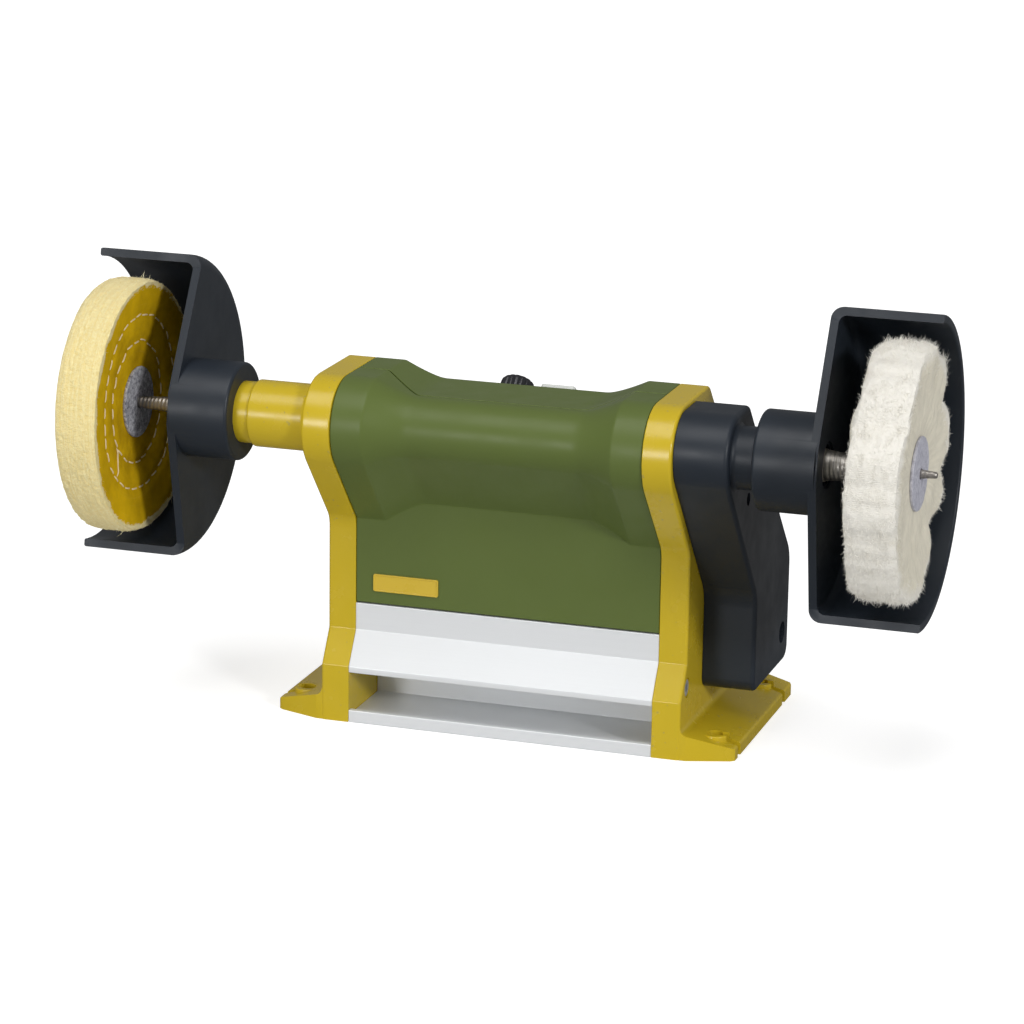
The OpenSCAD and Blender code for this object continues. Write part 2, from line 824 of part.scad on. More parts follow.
module left_bearing_race() {
    color(steel) at_spindle(left_bearing_x)
        groove_ring(shaft_r + seated, shaft_r + race_t, small_ring_w,
                    small_pitch_r, small_ball_r);
}

module right_bearing_ring() {
    color(steel) at_spindle(right_bearing_x)
        groove_ring(large_ring_r - large_race_t, large_ring_r - seated, large_ring_w,
                    large_pitch_r, large_ball_r);
}

module right_bearing_race() {
    color(steel) at_spindle(right_bearing_x)
        groove_ring(shaft_r + seated, shaft_r + large_race_t, large_ring_w,
                    large_pitch_r, large_ball_r);
}

module bearing_balls() {
    color(steel) {
        for (i = [0:small_balls - 1])
            at_spindle(left_bearing_x + small_ring_w / 2) rotate(360 * i / small_balls)
                translate([small_pitch_r, 0, 0]) sphere(small_ball_r);
        for (i = [0:large_balls - 1])
            at_spindle(right_bearing_x + large_ring_w / 2) rotate(360 * i / large_balls)
                translate([large_pitch_r, 0, 0]) sphere(large_ball_r);
    }
}

module dust_seal() {
    color("#4a4a48") at_spindle(neck_end_x - seal_w)
        ring(shaft_r + gap, small_ring_r - seated, seal_w);
}

// Motor

module motor_can() {
    color(steel) at_motor(can_left) ring(motor_r - can_wall, motor_r, can_l);
}

module motor_drive_cap() {
    color(alloy) at_motor(can_right) difference() {
        cylinder(r = motor_r, h = cap_l);
        translate([0, 0, -1]) cylinder(r = motor_r - cap_wall, h = cap_l - cap_end);
        translate([0, 0, -1]) cylinder(r = bush_r, h = cap_l + 2);
        for (a = motor_screw_turns) rotate(a) translate([motor_screw_pcd_r, 0, -1])
            cylinder(r = motor_screw_r, h = cap_l + 2);
    }
}

module motor_brush_cap() {
    color(black) at_motor(can_left - brush_cap_l) difference() {
        cylinder(r = motor_r, h = brush_cap_l);
        translate([0, 0, cap_end]) cylinder(r = motor_r - cap_wall, h = brush_cap_l);
        translate([0, 0, -1]) cylinder(r = bush_r, h = brush_cap_l);
    }
}

module motor_magnets() {
    color("#3a3a3e") for (a = [15, 195])
        at_motor(can_left + 6) rotate(a)
            rotate_extrude(angle = 150)
                translate([motor_r - can_wall - magnet_t, 0])
                    square([magnet_t - seated, can_l - 12]);
}

module motor_bushes() {
    color("#b08d57") {
        at_motor(can_right + 1) ring(motor_shaft_r + running, bush_r - seated, cap_l - 1);
        at_motor(can_left - brush_cap_l)
            ring(motor_shaft_r + running, bush_r - seated, brush_cap_l - commutator_out - gap);
    }
}

commutator_r = 7;
brush_w = 5;
module motor_brushes() {
    brush_l = motor_r - cap_wall - 1.5 * gap - commutator_r;
    color("#2b2b2b") for (s = [0, 1])
        translate([can_left - commutator_out - gap, motor_y - brush_w / 2, motor_h])
            mirror([0, 0, s]) translate([0, 0, commutator_r + gap])
                cube([brush_w, brush_w, brush_l - gap]);
}

module motor_screws() {
    color(steel) for (a = motor_screw_turns)
        at_motor(frame_out) rotate(a) translate([motor_screw_pcd_r, 0, 0])
            cap_screw(motor_screw_r - loose, motor_head_r, motor_head_h,
                      frame_t + cap_l - cap_end, screw_key_r);
}

module motor_shaft() {
    x0 = can_left - brush_cap_l + 0.5;
    color(steel) at_motor(x0)
        cylinder(r = motor_shaft_r, h = belt_x + belt_w / 2 + 3 - x0);
}

module armature() {
    color("#8a5a34") at_motor(can_left + armature_in) difference() {
        cylinder(r = armature_r, h = can_l - 2 * armature_in);
        translate([0, 0, -1]) cylinder(r = motor_shaft_r + seated, h = can_l);
        for (i = [0:7]) rotate(45 * i) translate([armature_r - 4, -0.9, -1])
            cube([5, 1.8, can_l]);
    }
}

module commutator() {
    color("#b87333") at_motor(can_left - commutator_out)
        ring(motor_shaft_r + seated, commutator_r, 2 * commutator_out);
}

// Belt drive

// Half section of a grooved pulley, from its bore outwards
module pulley(bore_r, r) {
    w = belt_w + 2 * gap + 2 * flange_t;
    low = r - rib_depth - gap;
    color(steel) translate([0, 0, -w / 2]) rotate_extrude() difference() {
        translate([bore_r, 0]) square([r + flange_up - bore_r, w]);
        translate([r - gap, flange_t]) square([flange_up + gap + 1, w - 2 * flange_t]);
        for (i = [0:belt_ribs - 1])
            let (z = flange_t + gap + (i + 0.5) * rib_pitch)
            polygon([[low, z - 0.15 * rib_pitch], [r, z - 0.42 * rib_pitch],
                     [r, z + 0.42 * rib_pitch], [low, z + 0.15 * rib_pitch]]);
    }
}

module spindle_pulley() {
    at_spindle(belt_x) pulley(shaft_r + seated, spindle_pulley_r);
}

module motor_pulley() {
    at_motor(belt_x) pulley(motor_shaft_r + seated, motor_pulley_r);
}

// Section of the belt, ribs inwards, from its inner face at radius r
module belt_section(r) {
    translate([r, -belt_w / 2]) square([belt_t, belt_w]);
    for (i = [0:belt_ribs - 1])
        let (z = -belt_w / 2 + (i + 0.5) * rib_pitch)
        polygon([[r + 0.2, z - 0.3 * rib_pitch], [r + 0.2, z + 0.3 * rib_pitch],
                 [r - rib_depth + gap, z + 0.1 * rib_pitch],
                 [r - rib_depth + gap, z - 0.1 * rib_pitch]]);
}

module drive_belt() {
    run = [motor_y - spindle_y, motor_h - spindle_h];
    centres = norm(run);
    // Angle of the line of centres below +Y, and the spread of the belt
    fall = atan2(-run.y, run.x);
    spread = asin((spindle_pulley_r - motor_pulley_r) / centres);
    straight = centres * cos(spread);
    // The straight runs lap the arcs, so that the belt is one piece
    lap = 0.1;
    color("#1d1d1d") translate([belt_x, spindle_y, spindle_h])
        rotate([-fall, 0, 0]) rotate([0, 90, 0]) {
            // Local +Y now points from the spindle to the motor
            rotate(180 - spread) rotate_extrude(angle = 180 + 2 * spread)
                belt_section(spindle_pulley_r + belt_lift);
            translate([0, centres, 0])
                rotate(spread) rotate_extrude(angle = 180 - 2 * spread)
                    belt_section(motor_pulley_r + belt_lift);
            for (s = [0, 1]) mirror([s, 0, 0]) rotate(spread) translate([0, -lap, 0])
                rotate([-90, 0, 0]) linear_extrude(straight + 2 * lap)
                    belt_section(spindle_pulley_r + belt_lift);
        }
}

// Electrical parts

module circuit_board() {
    color("#2f6b3a") translate([board_x, -board_w / 2, board_z])
        difference() {
            cube([board_l, board_w, board_t]);
            for (x = [pillar_in, board_l - pillar_in], y = [pillar_in, board_w - pillar_in])
                translate([x, y, -1]) cylinder(r = pillar_pin_r, h = board_t + 2);
        }
}

module board_pillars() {
    color("#c9c6b8") translate([board_x, -board_w / 2, shelf_top])
        for (x = [pillar_in, board_l - pillar_in], y = [pillar_in, board_w - pillar_in])
            translate([x, y, 0]) {
                cylinder(r = pillar_r, h = board_z - shelf_top);
                cylinder(r = pillar_pin_r - seated, h = board_z - shelf_top + 2 * board_t);
            }
}

// Capacitor, filter, relay and connector
module board_components() {
    capacitor_r = board_l / 6.5;
    color("#30343c") translate([board_x, -board_w / 2, board_z + board_t]) {
        translate([board_l * 0.28, board_w * 0.26, 0])
            cylinder(r = capacitor_r, h = 3 * capacitor_r);
        translate([board_l * 0.64, board_w * 0.2, 0])
            cube([board_l * 0.2, board_w * 0.4, board_l * 0.4]);
        translate([board_l * 0.16, board_w * 0.57, 0])
            cube([board_l * 0.32, board_w * 0.23, board_l * 0.32]);
        translate([board_l * 0.58, board_w * 0.7, 0])
            cube([board_l * 0.3, board_w * 0.16, board_l * 0.24]);
    }
}

module potentiometer() {
    color("#5b5f63") on_slope(dial_x, dial_down) difference() {
        union() {
            translate([0, 0, -cover_wall - pot_l]) cylinder(r = pot_r, h = pot_l);
            translate([0, 0, -cover_wall - 1]) cylinder(r = pot_neck_r, h = cover_wall);
        }
        translate([0, 0, -cover_wall - pot_l + 2])
            cylinder(r = dial_shaft_r + running, h = cover_wall + pot_l);
    }
}

module speed_dial() {
    flutes = 16;
    color("#26262a") on_slope(dial_x, dial_down) {
        difference() {
            union() {
                translate([0, 0, gap]) cylinder(r = dial_r, h = dial_h - gap - 1);
                translate([0, 0, dial_h - 1]) cylinder(r1 = dial_r, r2 = dial_r - 1, h = 1);
            }
            for (i = [0:flutes - 1]) rotate(360 * i / flutes)
                translate([dial_r + 0.45, 0, gap - 1]) cylinder(r = 0.8, h = dial_h + 2);
            translate([-0.4, -dial_r, dial_h - 0.5]) cube([0.8, dial_r - 1, 1]);
        }
        translate([0, 0, -cover_wall - pot_l + 2.3])
            cylinder(r = dial_shaft_r, h = cover_wall + pot_l - 1.5);
    }
}

switch_down = switch_l / 2 + 1.5;
switch_pivot_up = 0.6;
switch_depth = 12;
module switch_body() {
    hole_w = switch_w - 2 * rocker_in;
    hole_l = switch_l - 2 * rocker_in;
    color("#b9bab6") on_slope(switch_x, switch_down) difference() {
        union() {
            translate([-switch_w / 2, -switch_l / 2, 0]) cube([switch_w, switch_l, switch_h]);
            translate([-switch_w / 2 + 1.1, -switch_l / 2 + 1.1, -switch_depth])
                cube([switch_w - 2.2, switch_l - 2.2, switch_depth + 1]);
        }
        translate([-hole_w / 2, -hole_l / 2, -switch_depth + 2])
            cube([hole_w, hole_l, switch_depth + switch_h]);
    }
}

// Rocker with two flat faces that meet at the pivot, one raised at rest
module switch_rocker() {
    half_l = switch_l / 2 - rocker_in - gap - 0.4;
    half_w = switch_w / 2 - rocker_in - gap;
    rise = 1.2;
    color("#c9cac6") on_slope(switch_x, switch_down) translate([0, 0, switch_pivot_up])
        rotate([rocker_swing, 0, 0])
            translate([-half_w, 0, 0]) rotate([90, 0, 90]) linear_extrude(2 * half_w)
                polygon([[-half_l, rise + half_l * tan(rocker_swing)], [0, rise],
                         [half_l, rise + half_l * tan(rocker_swing)],
                         [half_l - 0.5, -1], [2, -4.5], [-2, -4.5],
                         [-half_l + 0.5, -1]]);
}

module cord_gland() {
    y0 = -wall_front + 2.5 - gland_l;
    color("#2a2c2e") translate([gland_x, y0, gland_z]) rotate([-90, 0, 0])
        difference() {
            union() {
                cylinder(r = gland_r, h = gland_l - 2.5);
                translate([0, 0, gland_l - 2.5]) cylinder(r = gland_flange_r, h = 2.5);
            }
            translate([0, 0, -1]) cylinder(r = gland_bore_r, h = gland_l + 2);
        }
}

// Spindle

stud_r = 2.5;
stud_l = 14;
collar_r = 6.4;
taper_x = hood_x + hood_wall + 1;
module spindle_shaft() {
    color(steel) difference() {
        at_spindle(-shaft_end_x) cylinder(r = shaft_r, h = 2 * shaft_end_x);
        at_spindle(-shaft_end_x - 1) cylinder(r = stud_r + seated, h = stud_l + 2);
        at_spindle(shaft_end_x - stud_l - 1) cylinder(r = stud_r + seated, h = stud_l + 2);
    }
}

// Radius of a tapered end at a distance x from the middle of the machine
function taper_r(r, x) =
    r + (taper_tip_r - r) * (x - taper_x) / (taper_tip_x - taper_x);

// Tapered end with its collar and stud, drawn for the right side
module taper(r) {
    count = floor((taper_tip_x - taper_x - 1) / thread_pitch);
    depth = 0.35;
    at_spindle(0) {
        translate([0, 0, shaft_end_x - stud_l]) cylinder(r = stud_r, h = stud_l + 0.5);
        translate([0, 0, shaft_end_x])
            cylinder(r = min(collar_r, r + 1.2), h = taper_x - shaft_end_x - 1.5);
        rotate_extrude() polygon(concat(
            [[0, shaft_end_x + 0.2], [r, shaft_end_x + 0.2], [r, taper_x]],
            [for (i = [0:count - 1]) let (x = taper_x + i * thread_pitch)
                each [[taper_r(r, x), x + 0.2 * thread_pitch],
                      [taper_r(r, x) - depth, x + 0.6 * thread_pitch]]],
            [[taper_tip_r, taper_tip_x - 0.4], [taper_tip_r - 0.4, taper_tip_x],
             [0, taper_tip_x]]));
    }
}

module right_taper() {
    color(steel) taper(right_taper_r);
}

module left_taper() {
    color(steel) mirror([1, 0, 0]) taper(left_taper_r);
}

module shaft_collars() {
    color(steel) {
        at_spindle(left_bearing_x + small_ring_w + seated) ring(shaft_r + seated, shaft_r + 1.1, 3);
        at_spindle(right_bearing_x - 5.02) ring(shaft_r + seated, shaft_r + 3, 5);
    }
}

// Section of the stitched wheel, with its two stitched rings drawn in
stitch_1 = 24;
stitch_2 = 34.5;
stitch_w = 2.5;
dip = 0.9;
module stitched_half(w, bore) {
    h = w / 2;
    rotate_extrude() polygon(concat(
        [[bore, -h]],
        wheel_side(-h),
        [[wheel_r - 1, -h * 0.72], [wheel_r, -h * 0.3], [wheel_r, h * 0.3],
         [wheel_r - 1, h * 0.72]],
        wheel_side_back(h),
        [[bore, h]]));
}
function wheel_side(h) =
    [[hub_r + 1, h], [stitch_1 - stitch_w, h], [stitch_1, h * dip],
     [stitch_1 + stitch_w, h], [stitch_2 - stitch_w, h], [stitch_2, h * dip],
     [stitch_2 + stitch_w, h], [wheel_r - 5, h * 0.97]];
function wheel_side_back(h) =
    let (s = wheel_side(h)) [for (i = [len(s) - 1:-1:0]) s[i]];

module left_wheel() {
    bore = taper_r(left_taper_r, left_wheel_x - left_wheel_w / 2) + 0.1;
    color("#e8d57e") at_spindle(-left_wheel_x) stitched_half(left_wheel_w, bore);
}

// Loose wheel: leaves of cloth held at the hub, spreading towards the rim
leaves = 5;
module right_wheel() {
    bore = taper_r(right_taper_r, right_wheel_x - right_wheel_w / 2) + 0.1;
    pitch = right_wheel_w / leaves;
    color("#ecebe0") at_spindle(right_wheel_x) rotate_extrude() polygon(concat(
        [[bore, -right_wheel_w / 2], [hub_r + 1, -right_wheel_w / 2]],
        [for (i = [0:leaves - 1])
            let (z = -right_wheel_w / 2 + (i + 0.5) * pitch, r = wheel_r - (i % 2) * 1.6)
            each [if (i > 0) [wheel_r - 13, z - pitch / 2],
                  [wheel_r - 6, z - pitch * (i > 0 ? 0.38 : 0.5)],
                  [r - 1, z - pitch * 0.35], [r, z], [r - 1, z + pitch * 0.35],
                  [wheel_r - 6, z + pitch * (i < leaves - 1 ? 0.38 : 0.5)]]],
        [[hub_r + 1, right_wheel_w / 2], [bore, right_wheel_w / 2]]));
}

module wheel_discs(x, half_w, r) {
    for (s = [-1, 1])
        at_spindle(x + (s > 0 ? half_w : -half_w - hub_t))
            difference() {
                cylinder(r = hub_r, h = hub_t);
                translate([0, 0, -1])
                    cylinder(r = taper_r(r, x + s * half_w - hub_t) + 0.1, h = hub_t + 2);
            }
}

module left_wheel_discs() {
    color("#93939b") mirror([1, 0, 0])
        wheel_discs(left_wheel_x, left_wheel_w / 2, left_taper_r);
}

module right_wheel_discs() {
    color("#a9aab4") wheel_discs(right_wheel_x, right_wheel_w / 2, right_taper_r);
}

// Hoods

// Hood for the right side, upright, with the spindle on the X axis
module hood_body() {
    inner_r = hood_r - hood_wall;
    edge = 5;
    contact = acos(hood_boss_r / hood_r);
    tx = hood_boss_r * cos(90 + contact);
    tz = hood_boss_r * sin(90 + contact);
    boss_in = hood_x - hood_boss_l;
    difference() {
        union() {
            // Half drum, open towards the user
            rotate([0, 90, 0]) translate([0, 0, hood_x])
                rotate_extrude(angle = 180) difference() {
                    hood_section(hood_r, edge);
                    translate([0, hood_wall]) hood_section(inner_r, edge - 2);
                }
            // Web of the side wall in front of the spindle
            translate([hood_x, 0, 0]) rotate([90, 0, 90]) linear_extrude(hood_wall)
                polygon([[0.01, hood_r - edge], [0, hood_r - edge], [tx, tz], [tx, -tz],
                         [0, -hood_r + edge], [0.01, -hood_r + edge]]);
            rotate([0, 90, 0]) translate([0, 0, boss_in]) {
                translate([0, 0, 1.2])
                    cylinder(r = hood_boss_r, h = hood_boss_l + hood_wall - 1.2);
                cylinder(r1 = hood_boss_r - 1.2, r2 = hood_boss_r, h = 1.2);
            }
        }
        rotate([0, 90, 0]) {
            translate([0, 0, boss_in - 1])
                cylinder(r = neck_r + running, h = neck_end_x + gap - boss_in + 1);
            translate([0, 0, boss_in - 1]) cylinder(r = arm_bore_r + 0.6, h = hood_w);
        }
        hood_screw_bore();
    }
}

// Half section of the drum: side wall below, rim above, outer corner rounded
module hood_section(r, edge) {
    square([r - edge, hood_w]);
    translate([0, edge]) square([r, hood_w - edge]);
    translate([r - edge, edge]) circle(edge);
}

hood_screw_r = 2;
module hood_screw_bore() {
    translate([groove_x, 0, 0]) rotate([-90, 0, 0])
        cylinder(r = hood_screw_r + 0.03, h = hood_boss_r + 2);
}

// Clamp screw at the back of the boss, with its tip in the neck's groove
module hood_screw() {
    tip = neck_r - groove_d + 0.35;
    translate([groove_x, 0, 0]) rotate([-90, 0, 0]) {
        translate([0, 0, tip]) cylinder(r = hood_screw_r, h = hood_boss_r - tip + 0.5);
        translate([0, 0, hood_boss_r + 0.4]) difference() {
            cylinder(r = 3.6, h = 3);
            translate([0, 0, 1.4]) cylinder(r = 1.6, h = 2, $fn = 6);
        }
    }
}

module hood_place(side) {
    mirror([side < 0 ? 1 : 0, 0, 0])
        translate([0, spindle_y, spindle_h]) rotate([-hood_tilt, 0, 0]) children();
}

module right_hood() {
    color(black) hood_place(1) hood_body();
}

module left_hood() {
    color(black) hood_place(-1) hood_body();
}

module right_hood_screw() {
    color(steel) hood_place(1) hood_screw();
}

module left_hood_screw() {
    color(steel) hood_place(-1) hood_screw();
}

base_profile();
left_frame();
right_frame();
frame_screws();
front_cover();
rear_cover();
cover_screws();
badge();
belt_cover();
belt_cover_screws();
left_bearing_ring();
right_bearing_ring();
dust_seal();
motor_can();
motor_drive_cap();
motor_brush_cap();
motor_magnets();
motor_bushes();
motor_brushes();
motor_screws();
drive_belt();
circuit_board();
board_components();
board_pillars();
potentiometer();
switch_body();
cord_gland();
spindle_shaft();
left_taper();
right_taper();
spindle_pulley();
left_bearing_race();
right_bearing_race();
bearing_balls();
shaft_collars();
left_wheel();
right_wheel();
left_wheel_discs();
right_wheel_discs();
motor_shaft();
armature();
commutator();
motor_pulley();
left_hood();
left_hood_screw();
right_hood();
right_hood_screw();
speed_dial();
switch_rocker();
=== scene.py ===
"""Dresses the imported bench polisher: shapes, finishes, studio and camera.

Sizes are in millimetres and are turned into metres when a mesh is made. The
frame is the CAD model's: X along the spindle, -Y to the user, Z up.
"""
import logging
import random
from dataclasses import dataclass, field
from enum import Enum
from math import acos, atan2, cos, exp, pi, radians, sin, sqrt, tan
from typing import Callable, Iterable, Sequence

import bpy
from mathutils import Matrix, Vector, noise


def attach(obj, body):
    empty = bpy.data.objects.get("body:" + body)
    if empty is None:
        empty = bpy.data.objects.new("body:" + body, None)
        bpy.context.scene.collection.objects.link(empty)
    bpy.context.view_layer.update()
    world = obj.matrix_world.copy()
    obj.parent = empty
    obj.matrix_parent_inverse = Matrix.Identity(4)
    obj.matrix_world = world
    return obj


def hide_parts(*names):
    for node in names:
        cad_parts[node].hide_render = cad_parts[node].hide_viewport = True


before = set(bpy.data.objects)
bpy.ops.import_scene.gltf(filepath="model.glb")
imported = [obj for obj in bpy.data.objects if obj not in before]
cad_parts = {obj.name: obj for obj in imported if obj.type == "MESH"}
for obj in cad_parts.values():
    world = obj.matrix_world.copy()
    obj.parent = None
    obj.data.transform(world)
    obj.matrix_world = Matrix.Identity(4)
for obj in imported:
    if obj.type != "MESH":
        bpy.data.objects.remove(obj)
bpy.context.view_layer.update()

MM = 0.001
MERGE = 2e-6  # metres within which points become one
SLIVER = 1e-6  # metres below which an edge goes
IN_PLANE = radians(0.15)  # angle below which faces become one
LOG = logging.getLogger("bench_polisher")

Flat = tuple[float, float]
Place = tuple[float, float, float]
Colour = tuple[int, int, int]
Piece = bpy.types.Object
Socket = bpy.types.NodeSocket

# Ways to lay a drawing: where its X, Y and Z go
PLAN = Matrix.Identity(4)
SIDE_VIEW = Matrix(((0, 0, 1, 0), (1, 0, 0, 0), (0, 1, 0, 0), (0, 0, 0, 1)))
FRONT_VIEW = Matrix(((1, 0, 0, 0), (0, 0, 1, 0), (0, 1, 0, 0), (0, 0, 0, 1)))
Z_TO_X = Matrix.Rotation(pi / 2, 4, "Y")
Z_TO_BACK = Matrix.Rotation(-pi / 2, 4, "X")
X_TO_BACK = Matrix.Rotation(pi / 2, 4, "Z")
MIRROR = Matrix.Scale(-1, 4, (1, 0, 0))


# Outlines

def corner(p: Sequence[float], q: Sequence[float], s: Sequence[float],
           radius: float, steps: int) -> list[Flat]:
    """Rounds one corner of an outline.

    Args:
        p: Point before the corner.
        q: The corner.
        s: Point after the corner.
        radius: Radius of the rounding.
        steps: Number of chords in the rounding.

    Returns:
        Points of the arc, from the side of p to the side of s.
    """
    v_p, v_q, v_s = (Vector((c[0], c[1])) for c in (p, q, s))
    u, v = (v_p - v_q).normalized(), (v_s - v_q).normalized()
    half = acos(max(-1.0, min(1.0, u.dot(v)))) / 2
    centre = v_q + (u + v).normalized() * radius / sin(half)
    a = v_q + u * radius / tan(half) - centre
    b = v_q + v * radius / tan(half) - centre
    start = atan2(a.y, a.x)
    sweep = (atan2(b.y, b.x) - start + pi) % (2 * pi) - pi
    return [(centre.x + radius * cos(start + sweep * i / steps),
             centre.y + radius * sin(start + sweep * i / steps))
            for i in range(steps + 1)]


def rounded(corners: Sequence[Place], steps: int) -> list[Flat]:
    """Rounds the corners of a closed outline.

    Args:
        corners: Corners as (a, b, radius); a radius of 0 stays sharp.
        steps: Number of chords in each rounding.

    Returns:
        Points of the rounded outline.
    """
    out: list[Flat] = []
    for i, q in enumerate(corners):
        if q[2] > 0:
            out += corner(corners[i - 1], q, corners[(i + 1) % len(corners)], q[2], steps)
        else:
            out.append((q[0], q[1]))
    return out


def between(a: Flat, b: Flat, count: int) -> list[Flat]:
    """Returns count points that divide the line from a to b, ends left out."""
    return [(a[0] + (b[0] - a[0]) * i / (count + 1), a[1] + (b[1] - a[1]) * i / (count + 1))
            for i in range(1, count + 1)]


def fillet(radius: float, angles: Iterable[int]) -> list[Flat]:
    """Returns how far a quarter round lies from its two sides, at angles in degrees."""
    return [(radius * (1 - cos(radians(a))), radius * (1 - sin(radians(a)))) for a in angles]


def circle(radius: float, steps: int) -> list[Flat]:
    """Returns the points of a circle about the middle."""
    return [(radius * cos(2 * pi * i / steps), radius * sin(2 * pi * i / steps))
            for i in range(steps)]


def rough(x: float, y: float, z: float) -> float:
    """Returns smooth noise from -1 to 1 at a point."""
    return noise.noise(Vector((x, y, z)))


def rough_round(scale: float, angle: float, z: float) -> float:
    """Returns smooth noise that closes on itself round a turn."""
    return rough(scale * cos(angle), scale * sin(angle), z)


def within(value: float, high: float = 1.0) -> float:
    """Returns a value held between 0 and a highest value."""
    return min(high, max(0.0, value))


def turn_from(angle: float, middle: float) -> float:
    """Returns an angle's turn from a middle in degrees, from -pi to pi."""
    return (angle - radians(middle) + pi) % (2 * pi) - pi


def hump(angle: float, middle: float, wide: float) -> float:
    """Returns a smooth hump of height 1 about a middle in degrees."""
    return exp(-(turn_from(angle, middle) / wide) ** 2)


# Shared sizes

@dataclass(frozen=True)
class Layout:
    """Sizes that several sub-assemblies share."""

    spindle_y: float = -53.0
    spindle_h: float = 123.5
    base_w: float = 124.0
    base_d: float = 97.0
    base_h: float = 47.0
    waist_in: float = 8.1
    waist_h: float = 36.0
    shelf_h: float = 20.5
    shelf_top: float = 23.0
    frame_t: float = 11.4
    foot_l: float = 20.3
    front_lean: float = radians(42)
    rear_lean: float = radians(44)
    top_back: float = 35.5
    end_off: float = 18.6
    end_top: float = 18.0
    mid_off: float = 13.0
    mid_top: float = 12.0
    belt_out: float = 94.5
    motor_y: float = 13.0
    motor_h: float = 48.0
    neck_r: float = 12.0
    neck_end: float = 123.0
    bore_r: float = 7.4
    seat_r: float = 9.5
    taper_x: float = 129.6
    tip_x: float = 170.0
    tip_r: float = 1.1

    @property
    def wall(self) -> float:
        """Distance of the upright walls from the middle of the base."""
        return self.base_d / 2 - self.waist_in

    @property
    def frame_in(self) -> float:
        """Place of the inner face of a frame."""
        return self.base_w / 2

    @property
    def frame_out(self) -> float:
        """Place of the outer face of a frame."""
        return self.frame_in + self.frame_t

    def front_y(self, off: float, z: float) -> float:
        """Returns y of the front slope at height z."""
        return (self.spindle_y + (self.spindle_h - z) * tan(self.front_lean)
                - off / cos(self.front_lean))

    def front_z(self, off: float, y: float) -> float:
        """Returns the height of the front slope at y."""
        return self.spindle_h - ((y - self.spindle_y + off / cos(self.front_lean))
                                 / tan(self.front_lean))

    def rear_y(self, top: float, z: float) -> float:
        """Returns y of the rear slope at height z."""
        return (self.spindle_y + self.top_back
                + (self.spindle_h + top - z) * tan(self.rear_lean))

    def rear_z(self, top: float, y: float) -> float:
        """Returns the height of the rear slope at y."""
        return (self.spindle_h + top
                - (y - self.spindle_y - self.top_back) / tan(self.rear_lean))

    def on_slope(self, x: float, down: float) -> Matrix:
        """Returns the place on the rear slope, with +Z out and +Y down it.

        Args:
            x: Place along X.
            down: Way down from its upper edge.

        Returns:
            The place.
        """
        y = self.spindle_y + self.top_back + down * sin(self.rear_lean)
        z = self.spindle_h + self.mid_top - down * cos(self.rear_lean)
        return (Matrix.Translation((x, y, z))
                @ Matrix.Rotation(self.rear_lean - pi / 2, 4, "X"))

    def at_spindle(self, x: float = 0.0) -> Matrix:
        """Returns a place on the spindle's axis."""
        return Matrix.Translation((x, self.spindle_y, self.spindle_h))

    def round_spindle(self, x: float, r: float, angle: float) -> Place:
        """Returns a point at a radius and an angle from +Z about the spindle."""
        return x, self.spindle_y - r * sin(angle), self.spindle_h + r * cos(angle)

    def taper_r(self, side: int, x: float) -> float:
        """Returns the radius of a tapered end at a distance from the middle."""
        thick = 5.8 if side > 0 else 3.4
        return thick + (self.tip_r - thick) * (x - self.taper_x) / (self.tip_x - self.taper_x)


LAYOUT = Layout()


# Meshes

class Solve(Enum):
    """What a second solid does to the first."""

    JOIN = "UNION"
    CUT = "DIFFERENCE"
    KEEP_COMMON = "INTERSECT"


